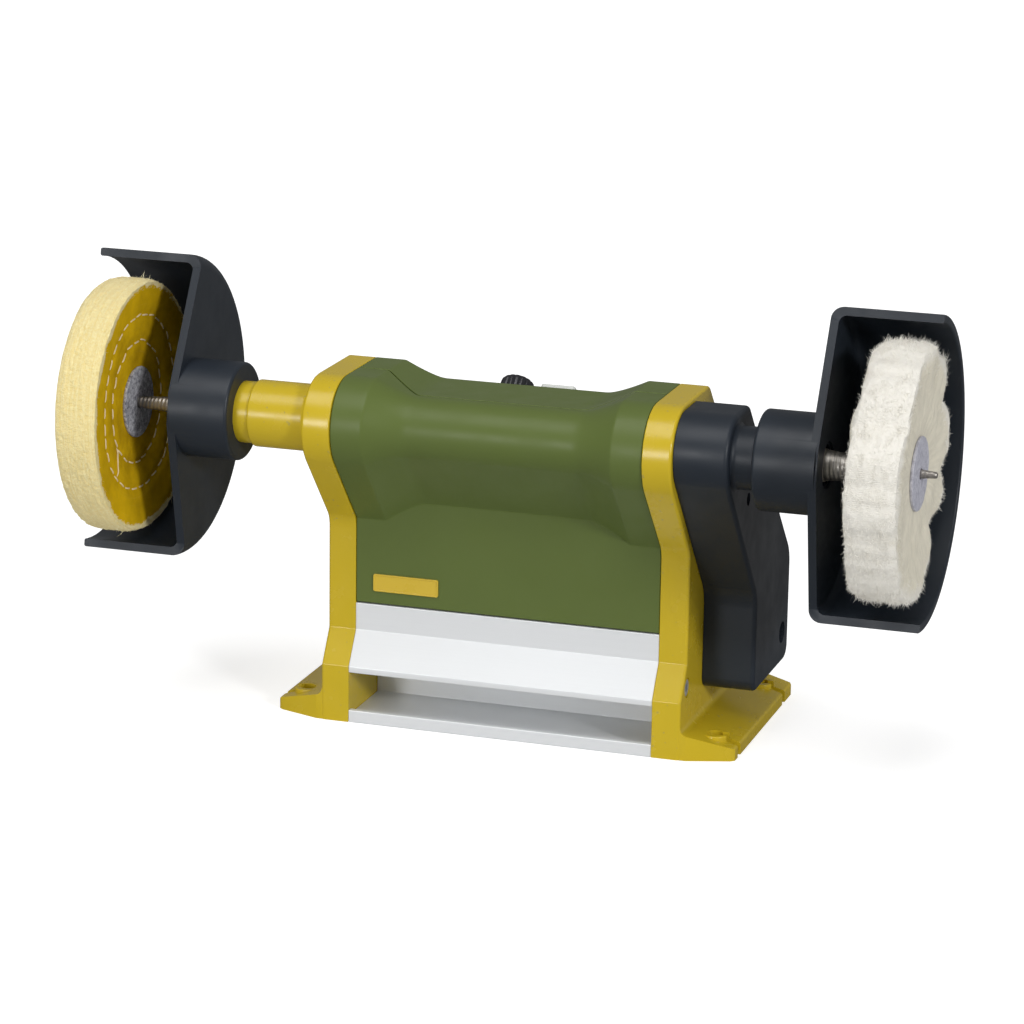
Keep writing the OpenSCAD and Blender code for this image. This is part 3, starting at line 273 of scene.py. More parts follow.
class Modeller:
    """Makes and shapes meshes with Blender's own tools."""

    @staticmethod
    def clear() -> None:
        """Leaves edit mode and deselects everything."""
        if bpy.context.object is not None and bpy.context.object.mode != "OBJECT":
            bpy.ops.object.mode_set(mode="OBJECT")
        bpy.ops.object.select_all(action="DESELECT")

    @classmethod
    def take(cls, obj: Piece) -> None:
        """Selects one object and makes it the active one."""
        cls.clear()
        obj.select_set(True)
        bpy.context.view_layer.objects.active = obj

    @classmethod
    def edit(cls, obj: Piece) -> None:
        """Opens an object in edit mode with all of it selected."""
        cls.take(obj)
        bpy.ops.object.mode_set(mode="EDIT")
        bpy.ops.mesh.select_all(action="SELECT")

    @classmethod
    def named(cls, name: str) -> Piece:
        """Names the primitive that was just added and returns it.

        Args:
            name: Name of the object and its mesh.

        Returns:
            The object.
        """
        obj = bpy.context.object
        obj.name = name
        obj.data.name = name
        return obj

    @classmethod
    def tidy(cls, obj: Piece, fill: bool = False) -> Piece:
        """Merges doubles, closes holes if asked, and turns the faces outwards.

        Args:
            obj: The mesh.
            fill: Whether open ends are closed.

        Returns:
            The same object.
        """
        cls.edit(obj)
        bpy.ops.mesh.remove_doubles(threshold=MERGE)
        bpy.ops.mesh.dissolve_degenerate(threshold=SLIVER)
        if fill:
            bpy.ops.mesh.select_all(action="SELECT")
            bpy.ops.mesh.fill_holes(sides=0)
        bpy.ops.mesh.select_all(action="SELECT")
        bpy.ops.mesh.normals_make_consistent(inside=False)
        cls.clear()
        return obj

    @classmethod
    def apply(cls, obj: Piece, modifier: bpy.types.Modifier) -> None:
        """Applies a modifier."""
        cls.take(obj)
        bpy.ops.object.modifier_apply(modifier=modifier.name)

    @staticmethod
    def remove(obj: Piece) -> None:
        """Removes an object with its mesh."""
        mesh = obj.data
        bpy.data.objects.remove(obj)
        bpy.data.meshes.remove(mesh)

    @classmethod
    def skin(cls, name: str, rings: Sequence[Sequence[Place]], fill: bool = False) -> Piece:
        """Lays a skin through rings of points.

        Args:
            name: Name of the piece.
            rings: Rings of points, each with the same number.
            fill: Whether open ends are closed.

        Returns:
            The new object.
        """
        rows = [list(ring) + [ring[0]] for ring in rings]
        cls.clear()
        bpy.ops.mesh.primitive_grid_add(x_subdivisions=len(rows[0]) - 1,
                                        y_subdivisions=len(rows) - 1, size=1, calc_uvs=False)
        obj = cls.named(name)
        obj.data.vertices.foreach_set("co", [c * MM for row in rows for p in row for c in p])
        obj.data.update()
        return cls.tidy(obj, fill)

    @classmethod
    def prism(cls, name: str, outline: Sequence[Flat], low: float, high: float,
              place: Matrix = SIDE_VIEW) -> Piece:
        """Extrudes an outline.

        Args:
            name: Name of the piece.
            outline: Points of the outline, in the plane of the place's X and Y.
            low: Where the solid starts along the place's Z.
            high: Where it ends.
            place: Where the outline's plane lies.

        Returns:
            The new object.
        """
        cls.clear()
        bpy.ops.mesh.primitive_circle_add(vertices=len(outline), fill_type="NGON",
                                          calc_uvs=False)
        obj = cls.named(name)
        for vertex, (a, b) in zip(obj.data.vertices, outline):
            vertex.co = place @ Vector((a, b, low)) * MM
        cls.edit(obj)
        step = (place.to_3x3() @ Vector((0, 0, high - low))) * MM
        bpy.ops.mesh.extrude_region_move(TRANSFORM_OT_translate={"value": step})
        return cls.tidy(obj)

    @classmethod
    def lathe(cls, name: str, profile: Sequence[Flat], place: Matrix = LAYOUT.at_spindle(),
              steps: int = 96, start: float = 0.0) -> Piece:
        """Turns a closed profile about the place's X axis.

        Args:
            name: Name of the piece.
            profile: Points (along the axis, radius).
            place: Where the axis lies.
            steps: Number of steps in the turn.
            start: Angle from +Z at which the turn starts, in degrees.

        Returns:
            The new object.
        """
        cls.clear()
        bpy.ops.mesh.primitive_circle_add(vertices=len(profile), calc_uvs=False,
                                          fill_type="NOTHING")
        obj = cls.named(name)
        a = radians(start)
        for vertex, (x, r) in zip(obj.data.vertices, profile):
            vertex.co = place @ Vector((x, -r * sin(a), r * cos(a))) * MM
        cls.edit(obj)
        bpy.ops.mesh.spin(steps=steps, angle=2 * pi, use_auto_merge=True,
                          center=place.translation * MM,
                          axis=place.to_3x3() @ Vector((1, 0, 0)))
        return cls.tidy(obj)

    @classmethod
    def box(cls, name: str, low: Sequence[float], high: Sequence[float],
            place: Matrix = PLAN) -> Piece:
        """Makes a box to cut with, from corner to corner at a place."""
        outline = [(low[0], low[1]), (high[0], low[1]), (high[0], high[1]), (low[0], high[1])]
        return cls.prism(name, outline, low[2], high[2], place)

    @classmethod
    def rod(cls, name: str, radius: float, low: float, high: float, place: Matrix,
            steps: int = 48) -> Piece:
        """Makes a round bar to cut with, along the place's Z."""
        return cls.prism(name, circle(radius, steps), low, high, place)

    @classmethod
    def combine(cls, obj: Piece, other: Piece, how: Solve) -> Piece:
        """Joins, cuts or intersects a solid with another, which is used up.

        Args:
            obj: The solid that is kept.
            other: The second solid.
            how: What the second solid does.

        Returns:
            The kept solid.
        """
        modifier = obj.modifiers.new("combine", "BOOLEAN")
        modifier.object = other
        modifier.operation = how.value
        modifier.solver = "EXACT"
        cls.apply(obj, modifier)
        cls.remove(other)
        return obj

    @classmethod
    def cut(cls, obj: Piece, cutters: Iterable[Piece]) -> None:
        """Cuts several solids out of one."""
        for cutter in cutters:
            cls.combine(obj, cutter, Solve.CUT)

    @classmethod
    def join(cls, name: str, parts: Sequence[Piece]) -> Piece:
        """Puts several meshes into one object.

        Args:
            name: Name of the piece.
            parts: The meshes, which are used up.

        Returns:
            The joined object.
        """
        cls.clear()
        for part in parts:
            part.select_set(True)
        bpy.context.view_layer.objects.active = parts[0]
        if len(parts) > 1:
            bpy.ops.object.join()
        return cls.named(name)

    @classmethod
    def flatten(cls, obj: Piece) -> None:
        """Merges doubles, and makes one face of faces that lie in a plane."""
        cls.tidy(obj)
        cls.edit(obj)
        bpy.ops.mesh.dissolve_limited(angle_limit=IN_PLANE)
        cls.clear()

    @classmethod
    def soften(cls, obj: Piece, width: float, angle: float, steps: int) -> None:
        """Rounds the edges that are sharper than an angle.

        Args:
            obj: The solid.
            width: Width of the rounding.
            angle: Least angle of an edge that is rounded, in degrees.
            steps: Number of chords in the rounding.
        """
        modifier = obj.modifiers.new("edges", "BEVEL")
        modifier.width = width * MM
        modifier.segments = steps
        modifier.limit_method = "ANGLE"
        modifier.angle_limit = radians(angle)
        modifier.miter_outer = "MITER_ARC"
        modifier.use_clamp_overlap = True
        cls.apply(obj, modifier)

    @classmethod
    def shade(cls, obj: Piece, angle: float = 35.0, weighted: bool = True) -> Piece:
        """Shades a mesh smoothly up to an angle between its faces.

        Args:
            obj: The mesh.
            angle: Greatest angle that is shaded smoothly, in degrees.
            weighted: Whether large faces keep their normals.

        Returns:
            The same object.
        """
        cls.take(obj)
        bpy.ops.object.shade_smooth_by_angle(angle=radians(angle))
        if weighted:
            modifier = obj.modifiers.new("normals", "WEIGHTED_NORMAL")
            modifier.keep_sharp = True
            cls.apply(obj, modifier)
        return obj

    @classmethod
    def move(cls, obj: Piece, change: Matrix) -> None:
        """Moves a mesh within its object, which stays at the origin.

        Args:
            obj: The mesh.
            change: The move, in millimetres.
        """
        real = change.copy()
        real.translation = change.translation * MM
        obj.matrix_world = real
        cls.take(obj)
        bpy.ops.object.transform_apply(location=True, rotation=True, scale=True)
        if change.determinant() < 0:
            cls.edit(obj)
            bpy.ops.mesh.normals_make_consistent(inside=False)
            cls.clear()

    @classmethod
    def copy(cls, obj: Piece, name: str, change: Matrix) -> Piece:
        """Copies a piece with its own mesh to another place.

        Args:
            obj: The piece that is copied.
            name: Name of the copy.
            change: Move of the copy, in millimetres.

        Returns:
            The copy.
        """
        twin = obj.copy()
        twin.data = obj.data.copy()
        bpy.context.scene.collection.objects.link(twin)
        twin.name = name
        twin.data.name = name
        cls.move(twin, change)
        return twin

    @classmethod
    def thread(cls, name: str, path: Sequence[Place], radius: float) -> Piece:
        """Sweeps a thread with six sides along a path.

        Args:
            name: Name of the piece.
            path: Points of the path.
            radius: Radius of the thread.

        Returns:
            The new object.
        """
        points = [Vector(p) for p in path]
        rings = []
        across = Vector((1.0, 0.13, 0.21))
        for i, p in enumerate(points):
            along = (points[min(i + 1, len(points) - 1)] - points[max(i - 1, 0)]).normalized()
            side = along.cross(across).normalized()
            across = side.cross(along).normalized()
            rings.append([tuple(p + radius * (side * a + across * b))
                          for a, b in circle(1.0, 6)])
        return cls.shade(cls.skin(name, rings, fill=True), 60, False)


# Finishes

def linear(colour: Sequence[float]) -> tuple[float, float, float, float]:
    """Turns a colour of 0 to 255 as seen on a screen into a shader colour."""
    out = [c / 255 / 12.92 if c / 255 <= 0.04045 else ((c / 255 + 0.055) / 1.055) ** 2.4
           for c in colour]
    return out[0], out[1], out[2], 1.0


class Graph:
    """Node tree with short calls to add nodes."""

    def __init__(self, tree: bpy.types.NodeTree) -> None:
        """Takes a node tree over and empties it."""
        self.nodes, self.links = tree.nodes, tree.links
        self.nodes.clear()

    def put(self, socket: Socket, value: object) -> None:
        """Links a socket, or sets its value."""
        if isinstance(value, Socket):
            self.links.new(value, socket)
        else:
            socket.default_value = value

    def add(self, kind: str, values: dict[int | str, object],
            **settings: object) -> bpy.types.Node:
        """Adds a node.

        Args:
            kind: Its kind.
            values: Values of its sockets, by their numbers or names.
            settings: Its settings.

        Returns:
            The new node.
        """
        node = self.nodes.new("ShaderNode" + kind)
        for name, value in settings.items():
            setattr(node, name, value)
        for key, value in values.items():
            self.put(node.inputs[key], value)
        return node

    def sum(self, kind: str, a: object, b: object = 0.0) -> Socket:
        """Returns the result of an operation on one or two numbers."""
        return self.add("Math", {0: a, 1: b}, operation=kind).outputs[0]

    def span(self, value: object, low: float, high: float, to_low: float = 0.0,
             to_high: float = 1.0, smooth: bool = False) -> Socket:
        """Returns a value carried from one range to another, clamped."""
        values = dict(enumerate((value, low, high, to_low, to_high)))
        return self.add("MapRange", values, interpolation_type="SMOOTHSTEP" if smooth
                        else "LINEAR").outputs[0]

    def seen(self) -> Socket:
        """Returns 1 for what the camera sees, directly or through glass."""
        rays = self.add("LightPath", {}).outputs
        return self.sum("MAXIMUM", rays["Is Camera Ray"], rays["Is Transmission Ray"])


class Tree(Graph):
    """Node tree of one material."""

    def __init__(self, name: str) -> None:
        """Starts a material with its shader and its output."""
        self.material = bpy.data.materials.new(name)
        self.material.use_nodes = True
        super().__init__(self.material.node_tree)
        self.shader = self.add("BsdfPrincipled", {})
        self.add("OutputMaterial", {0: self.shader.outputs[0]})

    def set(self, **values: object) -> None:
        """Sets sockets of the shader by their names, with _ for a space."""
        for name, value in values.items():
            self.put(self.shader.inputs[name.replace("_", " ")], value)

    def place(self, shift: Sequence[float] = (0, 0, 0)) -> Socket:
        """Returns the object's coordinates in metres, moved by a shift in mm."""
        here = self.add("TexCoord", {}).outputs["Object"]
        return self.vector("ADD", here, tuple(c * MM for c in shift))

    def vector(self, kind: str, a: object, b: object) -> Socket:
        """Returns the result of a vector operation."""
        return self.add("VectorMath", {0: a, 1: b}, operation=kind).outputs[0]

    def plus(self, a: object, b: object) -> Socket:
        """Returns the sum of two numbers."""
        return self.sum("ADD", a, b)

    def times(self, a: object, b: object) -> Socket:
        """Returns the product of two numbers."""
        return self.sum("MULTIPLY", a, b)

    def noise(self, at: object, scale: float, detail: float = 3.0,
              grain: float = 0.5) -> Socket:
        """Returns noise from about 0 to 1."""
        return self.add("TexNoise", {"Vector": at, "Scale": scale, "Detail": detail,
                                     "Roughness": grain}).outputs[0]

    def mix(self, share: object, a: object, b: object) -> Socket:
        """Returns a mix of two colours."""
        return self.add("Mix", {0: share, 6: a, 7: b}, data_type="RGBA").outputs[2]

    def bump(self, height: object, depth: float) -> None:
        """Adds relief of a depth in mm to the shader."""
        node = self.add("Bump", {"Height": height, "Distance": depth * MM, "Strength": 1.0})
        self.set(Normal=node.outputs[0])

    def split(self, at: object) -> list[Socket]:
        """Returns the three numbers of a vector."""
        return list(self.add("SeparateXYZ", {0: at}).outputs)

    def polar(self, at: object) -> tuple[Socket, ...]:
        """Splits a place about the X axis.

        Args:
            at: Coordinates in metres from a point on the axis.

        Returns:
            The place along the axis and the radius, both in mm, and the two
            parts of the direction around the axis.
        """
        x, y, z = (self.times(number, 1 / MM) for number in self.split(at))
        square = self.plus(self.times(y, y), self.times(z, z))
        radius = self.sum("MAXIMUM", self.sum("SQRT", square), 0.01)
        return x, radius, self.sum("DIVIDE", y, radius), self.sum("DIVIDE", z, radius)

    def gather(self, x: object, y: object, z: object) -> Socket:
        """Returns a vector of three numbers."""
        return self.add("CombineXYZ", {0: x, 1: y, 2: z}).outputs[0]

    def weave(self, at: object, pitch: float) -> Socket:
        """Returns a plain weave across Y and Z, with a thread at each pitch in mm.

        Args:
            at: Coordinates in metres.
            pitch: Distance of the threads.

        Returns:
            The height of the weave.
        """
        turn = 2 * pi / pitch / MM
        warp, weft = (self.sum("SINE", self.times(number, turn))
                      for number in self.split(at)[1:])
        return self.times(warp, weft)


@dataclass(frozen=True)
class Finish:
    """A finish of one colour with its own surface detail."""

    name: str
    colour: Colour
    roughness: float = 0.5
    spread: float = 0.06
    grain: float = 900.0
    relief: float = 0.02
    gloss: float = 1.0

    def tint(self, share: float, lift: float = 0.0) -> tuple[float, float, float, float]:
        """Returns the colour times a share, plus a lift, as a shader colour."""
        return linear([min(255, c * share + lift) for c in self.colour])

    def patches(self, tree: Tree, share: object) -> Socket:
        """Returns a mix of the finish's darker and lighter tone."""
        return tree.mix(share, self.tint(1 - self.spread), self.tint(1 + self.spread))

    def tone(self, tree: Tree, at: object) -> Socket:
        """Returns the colour, slightly cloudy."""
        return self.patches(tree, tree.noise(at, 28, 4))

    def height(self, tree: Tree, at: object) -> Socket:
        """Returns the height of the grain."""
        return tree.noise(at, self.grain, 2, 0.6)

    def shade(self, tree: Tree) -> None:
        """Adds colour, gloss and relief.

        Args:
            tree: The material's nodes.
        """
        at = tree.place()
        tree.set(Base_Color=self.tone(tree, at),
                 Roughness=tree.span(tree.noise(at, 90, 5), 0.3, 0.7,
                                     self.roughness - 0.05, self.roughness + 0.06),
                 Specular_Tint=(self.gloss, self.gloss, self.gloss, 1.0))
        tree.bump(self.height(tree, at), self.relief)

    def material(self) -> bpy.types.Material:
        """Returns the finish's material, which is made once."""
        name = self.name + "_finish"
        known = bpy.data.materials.get(name)
        if known is not None:
            return known
        tree = Tree(name)
        self.shade(tree)
        return tree.material


@dataclass(frozen=True)
class Moulded(Finish):
    """Moulded plastic with a fine sparked grain."""

    specular: float = 0.4

    def height(self, tree: Tree, at: object) -> Socket:
        """Returns the height of a coarse grain and a fine one."""
        fine = tree.noise(at, self.grain * 2.7, 1)
        return tree.plus(tree.noise(at, self.grain, 2, 0.65), tree.times(fine, 0.5))

    def shade(self, tree: Tree) -> None:
        """Adds colour, grain and a gloss of its own strength."""
        super().shade(tree)
        tree.set(Specular_IOR_Level=self.specular)


@dataclass(frozen=True)
class CastPaint(Finish):
    """Paint on a casting, with the casting's unevenness under it."""

    worn: Colour = (150, 140, 90)

    def tone(self, tree: Tree, at: object) -> Socket:
        """Returns the colour with a few specks."""
        speck = tree.span(tree.noise(at, 520, 1, 0.3), 0.72, 0.78)
        return tree.mix(tree.times(speck, 0.5), self.patches(tree, tree.noise(at, 22, 4)),
                        linear(self.worn))

    def height(self, tree: Tree, at: object) -> Socket:
        """Returns the height of orange peel over a cast skin."""
        return tree.plus(tree.times(tree.noise(at, 70, 3, 0.5), 3),
                         tree.noise(at, 420, 2, 0.4))


@dataclass(frozen=True)
class Drawn(Finish):
    """Drawn or anodised metal with fine lines along X."""

    metallic: float = 0.9

    def shade(self, tree: Tree) -> None:
        """Adds drawing lines in colour, gloss and relief.

        Args:
            tree: The material's nodes.
        """
        at = tree.place()
        lines = tree.noise(tree.vector("MULTIPLY", at, (6, self.grain, self.grain)), 1, 3)
        share = tree.plus(tree.times(lines, 0.6), tree.times(tree.noise(at, 16, 3), 0.4))
        tree.set(Base_Color=self.patches(tree, share), Metallic=self.metallic,
                 Roughness=tree.span(lines, 0.3, 0.7, self.roughness - 0.04,
                                     self.roughness + 0.06))
        tree.bump(lines, self.relief)


@dataclass(frozen=True)
class Turned(Finish):
    """Steel turned or ground about the X axis, with fine rings."""

    metallic: float = 1.0

    def shade(self, tree: Tree) -> None:
        """Adds turning rings and a faint stain.

        Args:
            tree: The material's nodes.
        """
        at = tree.place()
        rings = tree.noise(tree.vector("MULTIPLY", at, (self.grain, 12, 12)), 1, 2)
        stain = tree.span(tree.noise(at, 140, 4, 0.6), 0.42, 0.7)
        tree.set(Base_Color=tree.mix(stain, self.tint(1), self.tint(0.72)),
                 Metallic=self.metallic,
                 Roughness=tree.span(rings, 0.3, 0.7, self.roughness - 0.05,
                                     self.roughness + 0.1))
        tree.bump(rings, self.relief)


@dataclass(frozen=True)
class PressedFibre(Finish):
    """Pressed fibre board, mottled with pale flecks."""

    fleck: Colour = (205, 205, 210)

    def shade(self, tree: Tree) -> None:
        """Adds flecks in colour and relief.

        Args:
            tree: The material's nodes.
        """
        at = tree.place()
        coarse = tree.noise(at, 620, 4, 0.7)
        fine = tree.noise(at, 1900, 2)
        share = tree.span(tree.plus(coarse, tree.times(fine, 0.3)), 0.5, 0.82)
        tree.set(Base_Color=tree.mix(share, self.tint(1), linear(self.fleck)),
                 Roughness=self.roughness,
                 Specular_Tint=(self.gloss, self.gloss, self.gloss, 1.0))
        tree.bump(coarse, self.relief)


@dataclass(frozen=True)
class StitchedCloth(Finish):
    """Side and rim of the stitched, treated cotton wheel."""

    rim: Colour = (250, 238, 186)
    deep: Colour = (168, 128, 12)
    straw: Colour = (232, 206, 110)
    shadow: Colour = (236, 210, 130)
    border_r: float = 47.4
    border: Flat = (5.7, 6.6)
    ragged: float = 5.0
    wave: float = 8.0
    weave: float = 0.62

    def shade(self, tree: Tree) -> None:
        """Adds a pale fibrous rim, a golden face and a weave.

        Args:
            tree: The material's nodes.
        """
        at = tree.place((0, -LAYOUT.spindle_y, -LAYOUT.spindle_h))
        x, r, cy, cz = tree.polar(at)
        round_y, round_z = (tree.times(c, 2.2) for c in (cy, cz))
        fibre = tree.noise(tree.gather(tree.plus(tree.times(r, 1.5), round_y),
                                       tree.plus(tree.times(x, 1.7), round_z), 0.0),
                           1, 4, 0.7)
        line = tree.plus(tree.times(tree.noise(at, 160, 4, 0.65), self.ragged),
                         tree.times(tree.noise(tree.gather(cy, cz, 0.3), 3.2, 3), self.wave))
        over = tree.plus(tree.sum("SUBTRACT", r, self.border_r), line)
        shift = tree.sum("SUBTRACT", tree.times(cz, 1.5), tree.times(cy, 1.1))
        rim = tree.span(tree.plus(over, shift), *self.border, smooth=True)
        face = tree.mix(tree.span(tree.noise(at, 70, 5, 0.65), 0.3, 0.7),
                        tree.mix(tree.span(r, 12, 46), linear(self.deep), self.tint(1)),
                        self.tint(1.13, 4))
        fleck = tree.span(fibre, 0.56, 0.72)
        face = tree.mix(tree.times(fleck, 0.16), face, linear(self.straw))
        tuft = tree.span(tree.noise(at, 950, 4, 0.7), 0.34, 0.62)
        pale = tree.mix(tree.times(tree.span(tuft, -0.6, 1.0), tree.span(fibre, 0.2, 0.62)),
                        linear(self.shadow), linear(self.rim))
        tree.set(Base_Color=tree.mix(rim, face, pale), Roughness=0.95,
                 Specular_IOR_Level=0.05, Sheen_Weight=tree.times(rim, 0.2),
                 Sheen_Roughness=0.5)
        tree.bump(tree.plus(tree.times(tuft, tree.times(rim, 0.9)),
                            tree.times(tree.weave(at, self.weave), 0.22)), 0.25)


@dataclass(frozen=True)
class Muslin(Finish):
    """Leaves of the loose muslin wheel."""

    rim: Colour = (232, 229, 221)
    edge_r: float = 44.0
    edge_w: float = 6.0
    weave: float = 0.7

    def shade(self, tree: Tree) -> None:
        """Adds radial streaks, a whiter frayed edge and a weave.

        Args:
            tree: The material's nodes.
        """
        at = tree.place((0, -LAYOUT.spindle_y, -LAYOUT.spindle_h))
        _, r, cy, cz = tree.polar(at)
        streak = tree.noise(tree.gather(tree.times(cy, 16), tree.times(cz, 16),
                                        tree.times(r, 0.09)), 1, 4, 0.62)
        over = tree.plus(r, tree.times(tree.noise(at, 120, 4), 6))
        rim = tree.span(over, self.edge_r, self.edge_r + self.edge_w, smooth=True)
        face = tree.mix(tree.span(streak, 0.32, 0.68), self.tint(0.93), self.tint(1))
        cloud = tree.span(tree.noise(at, 90, 5, 0.6), 0.35, 0.75)
        face = tree.mix(tree.times(cloud, 0.45), face, self.tint(1.1))
        tree.set(Base_Color=tree.mix(rim, face, linear(self.rim)), Roughness=0.95,
                 Specular_IOR_Level=0.05, Sheen_Weight=0.15, Sheen_Roughness=0.5)
        tree.bump(tree.plus(tree.times(streak, 0.6),
                            tree.times(tree.weave(at, self.weave), 0.2)), 0.3)


class Finishes:
    """All finishes of the machine, by what carries them."""

    YELLOW = CastPaint("yellow_paint", (194, 168, 34), 0.24, 0.04, 420, 0.012, 0.8)
    GREEN = Moulded("green_plastic", (90, 104, 52), 0.38, 0.03, 1500, 0.012, 0.7, 0.3)
    CHARCOAL = Moulded("black_plastic", (35, 41, 49), 0.42, 0.04, 1300, 0.012, 1.0, 0.34)
    ALUMINIUM = Drawn("drawn_aluminium", (226, 228, 230), 0.45, 0.02, 3000, 0.004, 1.0,
                      0.3)
    TURNED_ALUMINIUM = Turned("turned_aluminium", (205, 207, 210), 0.3, 0.04, 2500, 0.006)
    GROUND = Turned("ground_steel", (188, 183, 176), 0.42, 0.05, 2500, 0.008)
    PLATED = Turned("plated_steel", (206, 208, 212), 0.34, 0.05, 1600, 0.004, 1.0, 0.45)
    BLACK_STEEL = Finish("black_steel", (38, 38, 41), 0.35, 0.06, 1800, 0.006)
    BADGE = Finish("badge_enamel", (204, 174, 58), 0.3, 0.03, 900, 0.004, 0.6)
    FELT = Finish("felt", (92, 92, 90), 0.95, 0.15, 1500, 0.12)
    MAGNET = Finish("magnet", (62, 62, 66), 0.6, 0.1, 900, 0.02)
    BRONZE = Turned("bronze", (176, 141, 87), 0.35, 0.06, 1500, 0.006)
    CARBON = Finish("carbon", (38, 38, 38), 0.7, 0.1, 1200, 0.02)
    RUBBER = Finish("belt_rubber", (34, 34, 35), 0.75, 0.1, 1400, 0.02)
    BOARD = Finish("board", (47, 107, 58), 0.45, 0.08, 1200, 0.006)
    COMPONENT = Finish("component", (58, 62, 68), 0.45, 0.1, 900, 0.008)
    SWITCH = Finish("switch_grey", (196, 198, 194), 0.35, 0.02, 1500, 0.004)
    GLAND = Finish("gland_rubber", (40, 42, 44), 0.6, 0.06, 1200, 0.01)
    DIAL = Moulded("dial_black", (36, 36, 39), 0.3, 0.06, 1600, 0.006)
    COTTON = StitchedCloth("treated_cotton", (198, 160, 14))
    THREAD = Finish("stitch_thread", (234, 214, 170), 0.9, 0.05, 2600, 0.05)
    LOOSE_THREAD = Finish("loose_thread", (246, 236, 196), 0.9, 0.05, 2600, 0.05)
    WHITE_THREAD = Finish("white_thread", (238, 235, 227), 0.95, 0.03, 2600, 0.05)
    MUSLIN = Muslin("white_muslin", (222, 216, 198))
    FIBRE = PressedFibre("hub_fibre", (108, 108, 116), 0.9, 0.1, 1500, 0.2, 0.6,
                         (202, 202, 208))
    PALE_FIBRE = PressedFibre("pale_hub_fibre", (158, 158, 172), 0.5, 0.1, 1500, 0.08, 1.0,
                              (204, 204, 214))


def dress(obj: Piece, finish: Finish, body: str, slot: str, *nodes: str) -> None:
    """Gives a finished piece its material and its body, and hides the CAD nodes that it stands
    for.

    Args:
        obj: The piece.
        finish: Its finish.
        body: The body that it rides on.
        slot: The record's material slot; not used.
        nodes: CAD nodes that the piece stands for.
    """
    obj.data.materials.clear()
    obj.data.materials.append(finish.material())
    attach(obj, body)
    if nodes:
        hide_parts(*nodes)
    LOG.info("%s: %d faces on %s", obj.name, len(obj.data.polygons), body)


# Base and frames

@dataclass
class BaseProfile:
    """Extruded aluminium base with a channel along its front and its back."""

    wall: float = 2.5
    floor_t: float = 3.0
    lip_h: float = 5.0
    channel_d: float = 33.5
    edge_r: float = 0.35

    def half(self) -> list[Flat]:
        """Returns the rear half of the section, from floor to inner shelf."""
        k = LAYOUT
        back, wall, high = k.base_d / 2, k.wall, k.base_h
        run = self.wall * sqrt(1 + (k.waist_in / (k.waist_h - k.shelf_top)) ** 2)
        inner = back - self.channel_d
        return [(back, 0), (back, self.lip_h), (back - self.wall, self.lip_h),
                (back - self.wall, self.floor_t), (inner, self.floor_t), (inner, k.shelf_h),
                (back, k.shelf_h), (back, k.shelf_top), (wall, k.waist_h), (wall, high),
                (wall - self.wall, high), (wall - self.wall, k.waist_h - 0.5),
                (back - run, k.shelf_top)]

    def build(self) -> None:
        """Builds and dresses the base."""
        rear = self.half()
        outline = rear + [(-y, z) for y, z in reversed(rear)]
        end = LAYOUT.frame_in
        base = Modeller.prism("base_profile_piece", outline, -end, end)
        inner = LAYOUT.base_d / 2 - self.channel_d - self.wall
        hollow = Modeller.box("hollow", (-end - 1, -inner, self.floor_t),
                              (end + 1, inner, LAYOUT.shelf_h))
        Modeller.cut(base, [hollow])
        Modeller.soften(base, self.edge_r, 25, 3)
        Modeller.shade(base)
        dress(base, Finishes.ALUMINIUM, "stand", "bare_aluminium", "base_profile")


